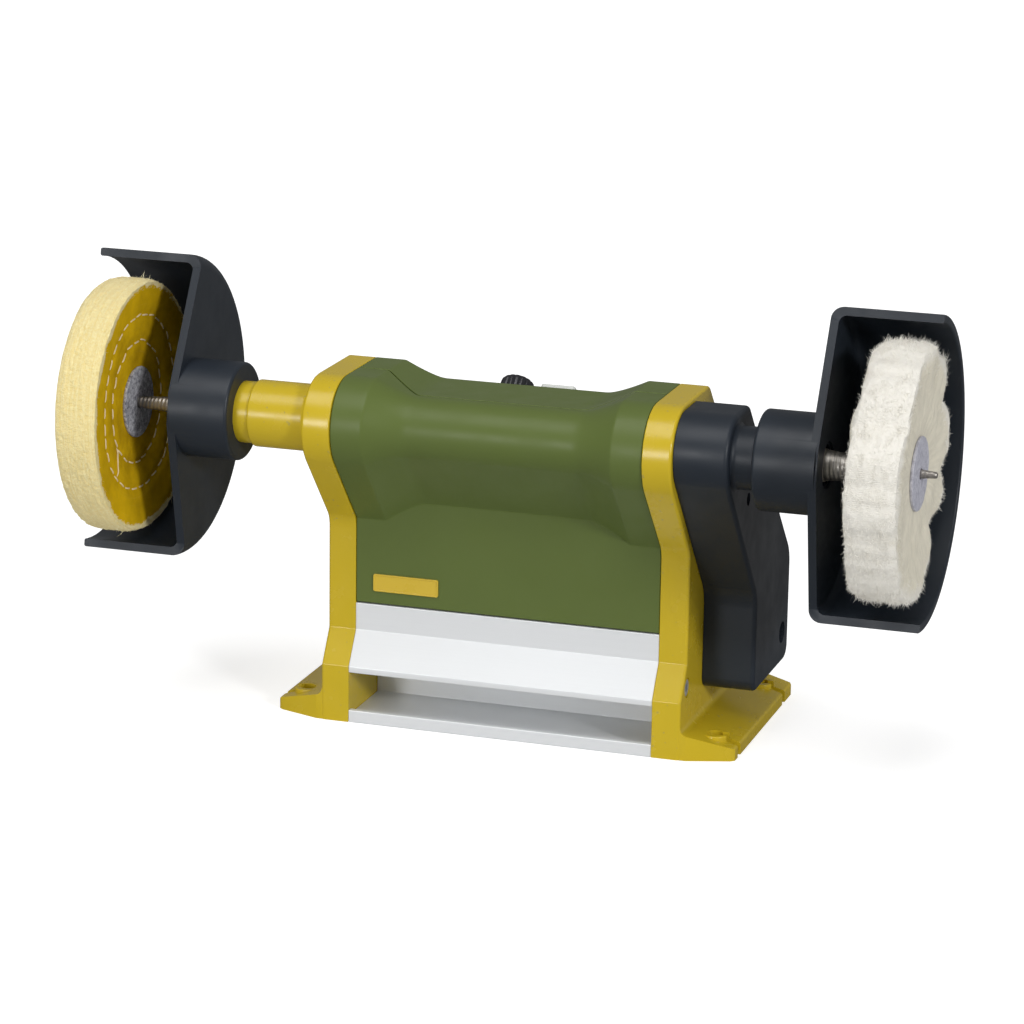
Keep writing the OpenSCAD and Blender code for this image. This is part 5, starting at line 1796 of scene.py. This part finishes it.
    def build(self) -> None:
        """Builds and dresses the wheel."""
        body = Modeller.shade(self.body("left_wheel_piece"), 60, False)
        dress(body, Finishes.COTTON, "spindle", "treated_cotton", "left_wheel")
        dress(self.stitches(), Finishes.THREAD, "spindle", "treated_cotton")
        dress(self.frays(), Finishes.LOOSE_THREAD, "spindle", "treated_cotton")


@dataclass
class Fluff:
    """Fine fibres that stand off the cloth, each a bent blade."""

    rng: random.Random
    points: list[Place] = field(default_factory=list)
    faces: list[tuple[int, ...]] = field(default_factory=list)

    def blade(self, x: float, r: float, angle: float, length: float, width: float,
              out: float = 0.0, sweep: float = 0.0) -> None:
        """Adds a fibre.

        Args:
            x: Place of its root along the spindle.
            r: Radius of its root.
            angle: Angle of its root from +Z.
            length: Its length.
            width: Its width at the root.
            out: Share of its direction along +X.
            sweep: Share of its direction around the axis.
        """
        rng = self.rng
        radial = Vector((0, -sin(angle), cos(angle)))
        around = Vector((0, -cos(angle), -sin(angle)))
        axial = Vector((1, 0, 0))
        way = (radial + around * (sweep + rng.uniform(-0.9, 0.9))
               + axial * (out + rng.uniform(-0.5, 0.5))).normalized()
        curl = (around * rng.uniform(-1, 1) + axial * rng.uniform(-1, 1)) * 0.5
        flat = way.cross(Vector((rng.uniform(-1, 1), rng.uniform(-1, 1),
                                 rng.uniform(-1, 1)))).normalized()
        root = Vector((x, LAYOUT.spindle_y, LAYOUT.spindle_h)) + radial * r
        f = len(self.points)
        for t, share in ((0.0, 1.0), (0.5, 0.75), (0.85, 0.4)):
            mid = root + (way + curl * t) * length * t
            for s in (-0.5, 0.5):
                self.points.append(tuple((mid + flat * width * share * s) * MM))
        self.points.append(tuple((root + (way + curl) * length) * MM))
        self.faces += [(f, f + 1, f + 3, f + 2), (f + 2, f + 3, f + 5, f + 4),
                       (f + 4, f + 5, f + 6)]

    def build(self, name: str) -> Piece:
        """Returns all fibres as one object.

        Args:
            name: Name of the piece.

        Returns:
            The new object.
        """
        mesh = bpy.data.meshes.new(name)
        mesh.from_pydata(self.points, [], self.faces)
        mesh.update()
        obj = bpy.data.objects.new(name, mesh)
        bpy.context.scene.collection.objects.link(obj)
        return obj


@dataclass
class LooseWheel(ClothWheel):
    """Right wheel: loose muslin leaves with a fluffy rim."""

    x: float = 152.4
    w: float = 20.0
    r: float = 49.0
    bore: float = LAYOUT.taper_r(1, 142.4) + 0.3
    dish: float = 2.7
    steps: int = 360
    notches: tuple[Place, ...] = ((297.0, 2.2, 0.14), (258.0, 2.8, 0.11), (229.0, 3.2, 0.15),
                                  (330.0, 1.2, 0.12), (150.0, 1.2, 0.2))

    def lobes(self, angle: float) -> float:
        """Returns the slow change of the outline."""
        return (2.2 * rough_round(2.3, angle, 5.0) + 1.5 * rough_round(5, angle, 9.0)
                + 0.7 * rough_round(11, angle, 3.0) - self.dent(angle))

    def dent(self, angle: float) -> float:
        """Returns how deep the outline's notches are at an angle."""
        return sum(depth * hump(angle, middle, wide) for middle, depth, wide in self.notches)

    def edge_r(self, angle: float) -> float:
        """Returns the radius at which the sides pass into the rim."""
        return self.r - 2.3 + self.lobes(angle) + 0.9 * rough_round(18, angle, 2.0)

    def side_x(self, r: float, angle: float, side: int) -> float:
        """Returns a side's place at a radius, from the wheel's middle.

        Args:
            r: Radius.
            angle: Angle from +Z.
            side: -1 or 1 for the low or the high side.

        Returns:
            The place.
        """
        c, s = cos(angle), sin(angle)
        way = within((r - self.hub_r) / 9)
        wave = 1.3 * rough(2.2 * c + side, 2.2 * s, r / 17)
        fold = (1.3 * abs(rough(5.5 * c, 5.5 * s + side, r / 9))
                + 0.45 * rough_round(13, angle, r / 5))
        droop = 1.5 * max(0.0, (r - 41) / 7) ** 2
        return (side * (self.w / 2 + way * (wave + fold) - droop) + self.dished(r)
                - self.bend(r, angle))

    def bend(self, r: float, angle: float) -> float:
        """Returns how far the leaves hang back at the lower rear and the top front."""
        out = max(0.0, (r - 24) / (self.r - 24)) ** 1.5
        return out * (3.2 * hump(angle, 222, 0.42) - 1.6 * hump(angle, 40, 0.5)
                      + 1.3 * self.dent(angle))

    def rim_at(self, x: float, angle: float) -> float:
        """Returns the rim's radius at a place across the width."""
        leaf = (0.35 * rough_round(7, angle, x / 2.0)
                + 0.35 * rough_round(26, angle, x * 0.8))
        return self.r - 0.6 + self.lobes(angle) + leaf - 1.7 * (abs(x) / (self.w / 2)) ** 4

    def frays(self) -> Piece:
        """Returns the fibres of the rim and of the edges, and the tufts."""
        rng = random.Random(37)
        fluff = Fluff(rng)
        lean = self.dished(self.r)
        for _ in range(16000):
            a = rng.uniform(0, 2 * pi)
            x = rng.uniform(-0.5, 0.5) * self.w
            fluff.blade(self.x + x + lean - self.bend(self.r, a), self.rim_at(x, a) - 0.35,
                        a, rng.uniform(0.6, 2.2), 0.15)
        for side, count in ((1, 3600), (-1, 1200)):
            for _ in range(count):
                a = rng.uniform(0, 2 * pi)
                r = self.edge_r(a) - rng.uniform(0.0, 1.0) ** 2 * 9
                fluff.blade(self.x + self.side_x(r, a, side) - side * 0.15, r, a,
                            rng.uniform(0.6, 1.6), 0.14, out=side * 0.6)
        for _ in range(150):
            middle, sweep = rng.uniform(0, 2 * pi), rng.uniform(-0.8, 0.8)
            place = rng.uniform(-0.5, 0.5) * self.w
            for _ in range(14):
                a = middle + rng.gauss(0, 0.03)
                x = place + rng.gauss(0, 0.7)
                fluff.blade(self.x + x + lean - self.bend(self.r, a),
                            self.rim_at(x, a) - 0.4, a, rng.uniform(1.5, 3.8), 0.17,
                            out=0.2, sweep=sweep)
        return fluff.build("right_wheel_fray")

    def build(self) -> None:
        """Builds and dresses the wheel."""
        body = Modeller.shade(self.body("right_wheel_piece"), 60, False)
        dress(body, Finishes.MUSLIN, "spindle", "white_muslin", "right_wheel")
        dress(self.frays(), Finishes.WHITE_THREAD, "spindle", "white_muslin")


@dataclass
class HubDiscs:
    """Discs that clamp the cloth at the hubs."""

    r: float = 14.0
    t: float = 1.3

    def disc(self, name: str, x: float, bore: float) -> Piece:
        """Returns one disc with its rim rounded, its low face at x.

        Args:
            name: Name of the mesh.
            x: Place of its low face.
            bore: Radius of its bore.

        Returns:
            The new object.
        """
        profile = ([(x, bore)] + corner((x, bore), (x, self.r), (x + self.t, self.r), 0.4, 3)
                   + corner((x, self.r), (x + self.t, self.r), (x + self.t, bore), 0.5, 4)
                   + [(x + self.t, self.r * 0.6), (x + self.t, bore)])
        disc = Modeller.lathe(name, profile)
        for vertex in disc.data.vertices:
            p = vertex.co / MM
            vertex.co.x += 0.12 * MM * rough(p.y / 3, p.z / 3, x)
        return Modeller.shade(disc, 40)

    def build(self) -> None:
        """Builds and dresses both pairs."""
        for side, wheel, finish in ((-1, StitchedWheel(), Finishes.FIBRE),
                                    (1, LooseWheel(), Finishes.PALE_FIBRE)):
            name = "left_wheel_discs" if side < 0 else "right_wheel_discs"
            half = wheel.w / 2
            pair = []
            for s in (-1, 1):
                x = wheel.x + (half if s > 0 else -half - self.t)
                bore = LAYOUT.taper_r(side, side * (wheel.x + s * half)) + 0.15
                pair.append(self.disc("disc", x, bore))
            dress(Modeller.join(name + "_piece", pair), finish, "spindle", "hub_disc", name)


@dataclass
class Taper:
    """Tapered, threaded end of the spindle, drawn for the right side."""

    side: int
    pitch: float = 1.6
    depth: float = 0.2
    collar_x: float = 124.0
    collar_r: float = 6.4
    sides: int = 40
    fine: float = 0.2

    def build(self) -> None:
        """Builds and dresses the tapered end with a true helix."""
        k, fine = LAYOUT, self.fine
        start, end = k.taper_x, k.tip_x
        thick = k.taper_r(self.side, start)
        collar = min(self.collar_r, thick + 1.2)
        profile: list[Place] = [
            (self.collar_x, 0.0, 0), (self.collar_x, collar - 0.3, 0),
            (self.collar_x + 0.3, collar, 0), (start - 1.8, collar, 0),
            (start - 1.5, collar - 0.3, 0), (start - 1.5, thick, 0)]
        count = int((end - 1.2 - start) / fine)
        for i in range(count + 1):
            x = start - 0.8 + i * fine
            fade = min(1.0, i * fine / 1.6, (count - i) * fine)
            r = k.taper_r(self.side, max(x, start))
            profile.append((x, r, min(self.depth, 0.09 * r) * fade))
        profile += [(end - 0.4, k.taper_r(self.side, end - 0.4), 0),
                    (end - 0.1, 0.75, 0), (end, 0.4, 0), (end, 0.0, 0)]
        rings = []
        for x, r, deep in profile:
            ring = []
            for j in range(self.sides):
                a = 2 * pi * j / self.sides
                groove = abs(2 * ((x / self.pitch - a / (2 * pi)) % 1.0) - 1)
                ring.append(k.round_spindle(x, r - deep * groove ** 0.8, a))
            rings.append(ring)
        taper = Modeller.skin("taper", rings)
        Modeller.shade(taper, 50, False)
        if self.side < 0:
            Modeller.move(taper, MIRROR)
        name = "left_taper" if self.side < 0 else "right_taper"
        taper.name = name + "_piece"
        dress(taper, Finishes.GROUND, "spindle", "ground_steel", name)


# Controls and small parts

@dataclass
class SpeedDial:
    """Fluted, domed knob on the rear slope."""

    x: float = -7.0
    down: float = 9.5
    r: float = 6.9
    h: float = 7.0
    flutes: int = 16
    flute_d: float = 0.42

    def build(self) -> None:
        """Builds and dresses the dial."""
        place = LAYOUT.on_slope(self.x, self.down)
        steps = self.flutes * 8
        profile = [(0.4, 0.0, 0), (0.4, self.r - 0.3, 0.6), (0.7, self.r, 1), (2.5, self.r, 1),
                   (4.6, self.r - 0.1, 1), (5.6, self.r - 0.3, 1), (6.1, self.r - 0.7, 0.7),
                   (6.5, self.r - 1.4, 0.3), (6.8, self.r - 2.4, 0), (self.h, 2.4, 0),
                   (self.h, 0.0, 0)]
        rings = []
        for z, r, share in profile:
            ring = []
            for j in range(steps):
                a = 2 * pi * j / steps
                deep = self.flute_d * share * max(0.0, cos(self.flutes * a)) ** 1.5
                ring.append(tuple(place @ Vector(((r - deep) * cos(a), (r - deep) * sin(a),
                                                  z))))
            rings.append(ring)
        dial = Modeller.skin("speed_dial_piece", rings)
        Modeller.cut(dial, [Modeller.box("mark", (-0.35, -self.r + 0.6, self.h - 0.7),
                                         (0.35, -1.5, self.h + 1), place)])
        Modeller.shade(dial, 40)
        dress(dial, Finishes.DIAL, "dial", "dial_black", "speed_dial")


@dataclass
class Switch:
    """Rocker switch on the rear slope."""

    x: float = 12.0
    down: float = 11.5
    w: float = 14.0
    length: float = 20.0
    h: float = 2.0
    rim: float = 1.6
    step: float = 1.1
    depth: float = 12.0
    swing: float = radians(10)
    pivot_up: float = 0.6

    def rectangle(self, w: float, length: float, r: float) -> list[Flat]:
        """Returns a rounded rectangle about the middle."""
        a, b = w / 2, length / 2
        return rounded([(-a, -b, r), (a, -b, r), (a, b, r), (-a, b, r)], 5)

    def build(self) -> None:
        """Builds and dresses the body and the rocker."""
        place = LAYOUT.on_slope(self.x, self.down)
        body = Modeller.prism("switch_body_piece", self.rectangle(self.w, self.length, 1.2),
                              0.02, self.h, place)
        Modeller.soften(body, 0.5, 60, 3)
        a, b = self.w / 2 - self.step, self.length / 2 - self.step
        well = Modeller.box("well", (-a, -b, -self.depth), (a, b, 1), place)
        Modeller.combine(body, well, Solve.JOIN)
        hole_w, hole_l = self.w - 2 * self.rim, self.length - 2 * self.rim
        Modeller.cut(body, [Modeller.prism("hole", self.rectangle(hole_w, hole_l, 0.5),
                                           2 - self.depth, self.h + 1, place)])
        Modeller.shade(body)
        dress(body, Finishes.SWITCH, "stand", "switch_grey", "switch_body")
        half_l, half_w, rise = hole_l / 2 - 0.8, hole_w / 2 - 0.4, 1.2
        lift = half_l * tan(self.swing)
        side = [(-half_l, rise + lift), (-half_l * 0.5, rise + lift * 0.36), (0, rise),
                (half_l * 0.5, rise + lift * 0.36), (half_l, rise + lift),
                (half_l - 0.5, -1), (2, -4.5), (-2, -4.5), (0.5 - half_l, -1)]
        turn = (place @ Matrix.Translation((0, 0, self.pivot_up))
                @ Matrix.Rotation(self.swing, 4, "X") @ SIDE_VIEW)
        rocker = Modeller.prism("switch_rocker_piece", side, -half_w, half_w, turn)
        Modeller.soften(rocker, 0.35, 50, 3)
        Modeller.shade(rocker)
        dress(rocker, Finishes.SWITCH, "rocker", "switch_grey", "switch_rocker")


@dataclass
class CordGland:
    """Gland for the mains lead, with a flange, at the back."""

    x: float = Covers.gland_x
    z: float = Covers.gland_z
    r: float = 5.6
    flange_r: float = 7.5
    flange_t: float = 2.5
    bore_r: float = 3.25
    length: float = 12.0

    def build(self) -> None:
        """Builds and dresses the gland."""
        place = Matrix.Translation((self.x, LAYOUT.wall, self.z)) @ X_TO_BACK
        t = self.flange_t
        low = t - self.length
        profile = ([(low, self.bore_r), (low, self.r), (0.05, self.r), (0.05, self.flange_r)]
                   + corner((0, self.flange_r), (t, self.flange_r), (t, 0), 0.9, 5)
                   + corner((t, 9), (t, self.bore_r), (0, self.bore_r), 0.5, 3))
        gland = Modeller.lathe("cord_gland_piece", profile, place, 72)
        Modeller.shade(gland)
        dress(gland, Finishes.GLAND, "stand", "gland_rubber", "cord_gland")


class ScrewKind(Enum):
    """Sizes of the screws: shank radius, head radius, head height, key."""

    FRAME = (1.97, 3.5, 3.0, 1.5)
    COVER = (1.57, 3.4, 2.4, 1.5)
    BELT = (1.47, 2.4, 1.9, 1.05)
    HOOD = (2.0, 3.6, 3.0, 1.6)


@dataclass
class Screws:
    """Socket screws, each kind modelled once and copied to its places."""

    frame_grip: float = 22
    cover_grip: float = 15.6
    belt_grip: float = 24
    hood_grip: float = 8.0


    def screw(self, kind: ScrewKind, grip: float) -> Piece:
        """Returns a screw along +X with the underside of its head at 0.

        Args:
            kind: Its sizes.
            grip: Length of the shank.

        Returns:
            The new object.
        """
        shank, head, high, key = kind.value
        profile = ([(-grip, 0.0), (-grip, shank - 0.3), (-grip + 0.4, shank), (0, shank)]
                   + corner((0, 0), (0, head), (high, head), 0.15, 2)
                   + corner((0, head), (high, head), (high, 0), 0.5, 4) + [(high, 0.0)])
        screw = Modeller.lathe("screw", profile, PLAN, 48)
        Modeller.cut(screw, [Modeller.prism("key", circle(key * 1.15, 6), high - 1.5, high + 1,
                                            Z_TO_X)])
        return Modeller.shade(screw)

    def set(self, node: str, kind: ScrewKind, grip: float, places: Sequence[Matrix],
            finish: Finish, body: str, slot: str) -> None:
        """Builds one node's screws.

        Args:
            node: The CAD node that they stand for.
            kind: Their sizes.
            grip: Length of the shank.
            places: Where each sits, with +X out of the head.
            finish: Their finish.
            body: Body that they ride on.
            slot: The record's material slot.
        """
        master = self.screw(kind, grip)
        copies = [Modeller.copy(master, node, place) for place in places]
        Modeller.remove(master)
        dress(Modeller.join(node + "_piece", copies), finish, body, slot, node)

    def build(self) -> None:
        """Builds and dresses all screws that show."""
        k, covers = LAYOUT, Covers()
        flip = Matrix.Rotation(pi, 4, "Z")
        seat = k.frame_out - SideFrame.recess_d
        frame_places = [Matrix.Translation((s * seat, y, SideFrame.screw_z))
                        @ (flip if s < 0 else PLAN)
                        for s in (-1, 1) for y in (-SideFrame.screw_y, SideFrame.screw_y)]
        self.set("frame_screws", ScrewKind.FRAME, self.frame_grip, frame_places,
                 Finishes.PLATED, "stand", "plated_steel")
        end = k.rear_y(k.mid_top, covers.post_z) - covers.seat_d
        self.set("cover_screws", ScrewKind.COVER, self.cover_grip,
                 [Matrix.Translation((s * covers.post_x, end, covers.post_z)) @ X_TO_BACK
                  for s in (-1, 1)],
                 Finishes.PLATED, "stand", "plated_steel")
        self.set("belt_cover_screws", ScrewKind.BELT, self.belt_grip,
                 [Matrix.Translation((k.belt_out - BeltCover.recess_d, y, z))
                  for y, z, _ in BeltCover.recesses],
                 Finishes.BLACK_STEEL, "stand", "black_steel")
        for side, name in ((-1, "left_hood"), (1, "right_hood")):
            hood = Hood(side)
            place = (hood.place() @ Matrix.Translation(
                (hood.x - hood.boss_l / 2, hood.boss_r + 0.4, 0)) @ X_TO_BACK)
            self.set(name + "_screw", ScrewKind.HOOD, self.hood_grip, [place],
                     Finishes.BLACK_STEEL, name, "black_steel")


class Insides:
    """Parts inside the machine, whose CAD shapes stay."""

    FINISH = {
        Finishes.PLATED: ("left_bearing_ring", "right_bearing_ring", "left_bearing_race",
                          "right_bearing_race", "bearing_balls", "shaft_collars",
                          "motor_can", "motor_screws"),
        Finishes.GROUND: ("spindle_shaft", "motor_shaft"),
        Finishes.TURNED_ALUMINIUM: ("motor_drive_cap", "spindle_pulley", "motor_pulley"),
        Finishes.BRONZE: ("motor_bushes", "armature", "commutator"),
        Finishes.COMPONENT: ("board_components", "board_pillars", "potentiometer"),
        Finishes.FELT: ("dust_seal",),
        Finishes.CHARCOAL: ("motor_brush_cap",),
        Finishes.MAGNET: ("motor_magnets",),
        Finishes.CARBON: ("motor_brushes",),
        Finishes.RUBBER: ("drive_belt",),
        Finishes.BOARD: ("circuit_board",),
    }

    def build(self) -> None:
        """Dresses every CAD node that stays."""
        for finish, names in self.FINISH.items():
            for name in names:
                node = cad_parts[name]
                if not node.material_slots:
                    node.data.materials.append(finish.material())
                for place in node.material_slots:
                    place.material = finish.material()
                LOG.info("%s: %s", name, finish.name)


# Studio

@dataclass
class Studio:
    """Pale floor, soft light, white surroundings and the camera."""

    azimuth: float = radians(17.97)
    elevation: float = radians(15.65)
    roll: float = radians(0.79)
    distance: float = 1484.04
    target: Place = (0.0, -53.0, 80.0)
    lens: float = 136.08
    shift: Flat = (0.01502, 0.0322)
    fill: float = 0.34
    mirrored: float = 0.22
    floor_grey: float = 0.62
    floor_shine: float = 0.2
    floor_lift: float = 0.64

    @staticmethod
    def way(azimuth: float, elevation: float) -> Vector:
        """Returns the direction at an azimuth from the front and an elevation."""
        return Vector((sin(azimuth) * cos(elevation), -cos(azimuth) * cos(elevation),
                       sin(elevation)))

    def camera(self) -> None:
        """Adds the camera at the photographed angle."""
        back = self.way(self.azimuth, self.elevation)
        right = Vector((cos(self.azimuth), sin(self.azimuth), 0))
        up = back.cross(right)
        tilt_right = right * cos(self.roll) + up * sin(self.roll)
        tilt_up = up * cos(self.roll) - right * sin(self.roll)
        data = bpy.data.cameras.new("camera")
        data.sensor_width = 36
        data.lens = self.lens
        data.shift_x, data.shift_y = self.shift
        data.clip_start, data.clip_end = 0.05, 50
        camera = bpy.data.objects.new("camera", data)
        turn = Matrix((tilt_right, tilt_up, back)).transposed().to_4x4()
        spot = (Vector(self.target) + back * self.distance) * MM
        camera.matrix_world = Matrix.Translation(spot) @ turn
        bpy.context.scene.collection.objects.link(camera)
        bpy.context.scene.camera = camera

    def world(self) -> None:
        """Makes the surroundings white to the eye and soft as a light."""
        world = bpy.data.worlds.new("studio")
        bpy.context.scene.world = world
        world.use_nodes = True
        graph = Graph(world.node_tree)
        glossy = graph.add("LightPath", {}).outputs["Is Glossy Ray"]
        light = graph.span(glossy, 0.0, 1.0, self.fill, self.mirrored)
        level = graph.add("Mix", {0: graph.seen(), 2: light, 3: 1.0}).outputs[0]
        background = graph.add("Background", {0: (1, 1, 1, 1), 1: level})
        graph.add("OutputWorld", {0: background.outputs[0]})

    def floor(self) -> None:
        """Adds the floor, which isn't part of the object."""
        Modeller.clear()
        bpy.ops.mesh.primitive_plane_add(size=14)
        floor = Modeller.named("floor")
        tree = Tree("floor_paper")
        g = self.floor_grey
        soft = tree.noise(tree.place(), 3, 2)
        paper = tree.mix(soft, (g, g, g, 1), (g + 0.01, g + 0.01, g + 0.01, 1))
        g = self.floor_shine
        glossy = tree.add("LightPath", {}).outputs["Is Glossy Ray"]
        tree.set(Base_Color=tree.mix(glossy, paper, (g, g, g, 1)), Roughness=0.9,
                 Specular_IOR_Level=0.1, Emission_Color=(1, 1, 1, 1),
                 Emission_Strength=tree.times(tree.seen(), self.floor_lift))
        floor.data.materials.append(tree.material)

    def sun(self, name: str, azimuth: float, elevation: float, strength: float,
            angle: float) -> None:
        """Adds a distant soft lamp.

        Args:
            name: Its name.
            azimuth: Its direction from the front, to the right, in degrees.
            elevation: Its height above the horizon, in degrees.
            strength: Its strength.
            angle: Its apparent size, in degrees.
        """
        data = bpy.data.lights.new(name, "SUN")
        data.energy = strength
        data.angle = radians(angle)
        lamp = bpy.data.objects.new(name, data)
        lamp.rotation_mode = "QUATERNION"
        lamp.rotation_quaternion = self.way(radians(azimuth),
                                            radians(elevation)).to_track_quat("Z", "Y")
        bpy.context.scene.collection.objects.link(lamp)

    def build(self) -> None:
        """Builds the studio."""
        self.camera()
        self.world()
        self.floor()
        self.sun("key", -18, 66, 1.4, 40)
        self.sun("front", -17, 8, 0.7, 14)
        self.sun("side", 56, 20, 1.25, 9)
        bpy.context.scene.view_settings.view_transform = "Standard"


def main() -> None:
    """Builds every sub-assembly in order."""
    logging.basicConfig(level=logging.INFO, format="%(message)s")
    Studio().build()
    for part in (BaseProfile(), SideFrame(-1), SideFrame(1), Covers(), Badge(), BeltCover(),
                 Hood(-1), Hood(1), StitchedWheel(), LooseWheel(), HubDiscs(), Taper(-1),
                 Taper(1), SpeedDial(), Switch(), CordGland(), Screws(), Insides()):
        LOG.info("building %s", type(part).__name__)
        part.build()


if __name__ == "__main__":
    main()
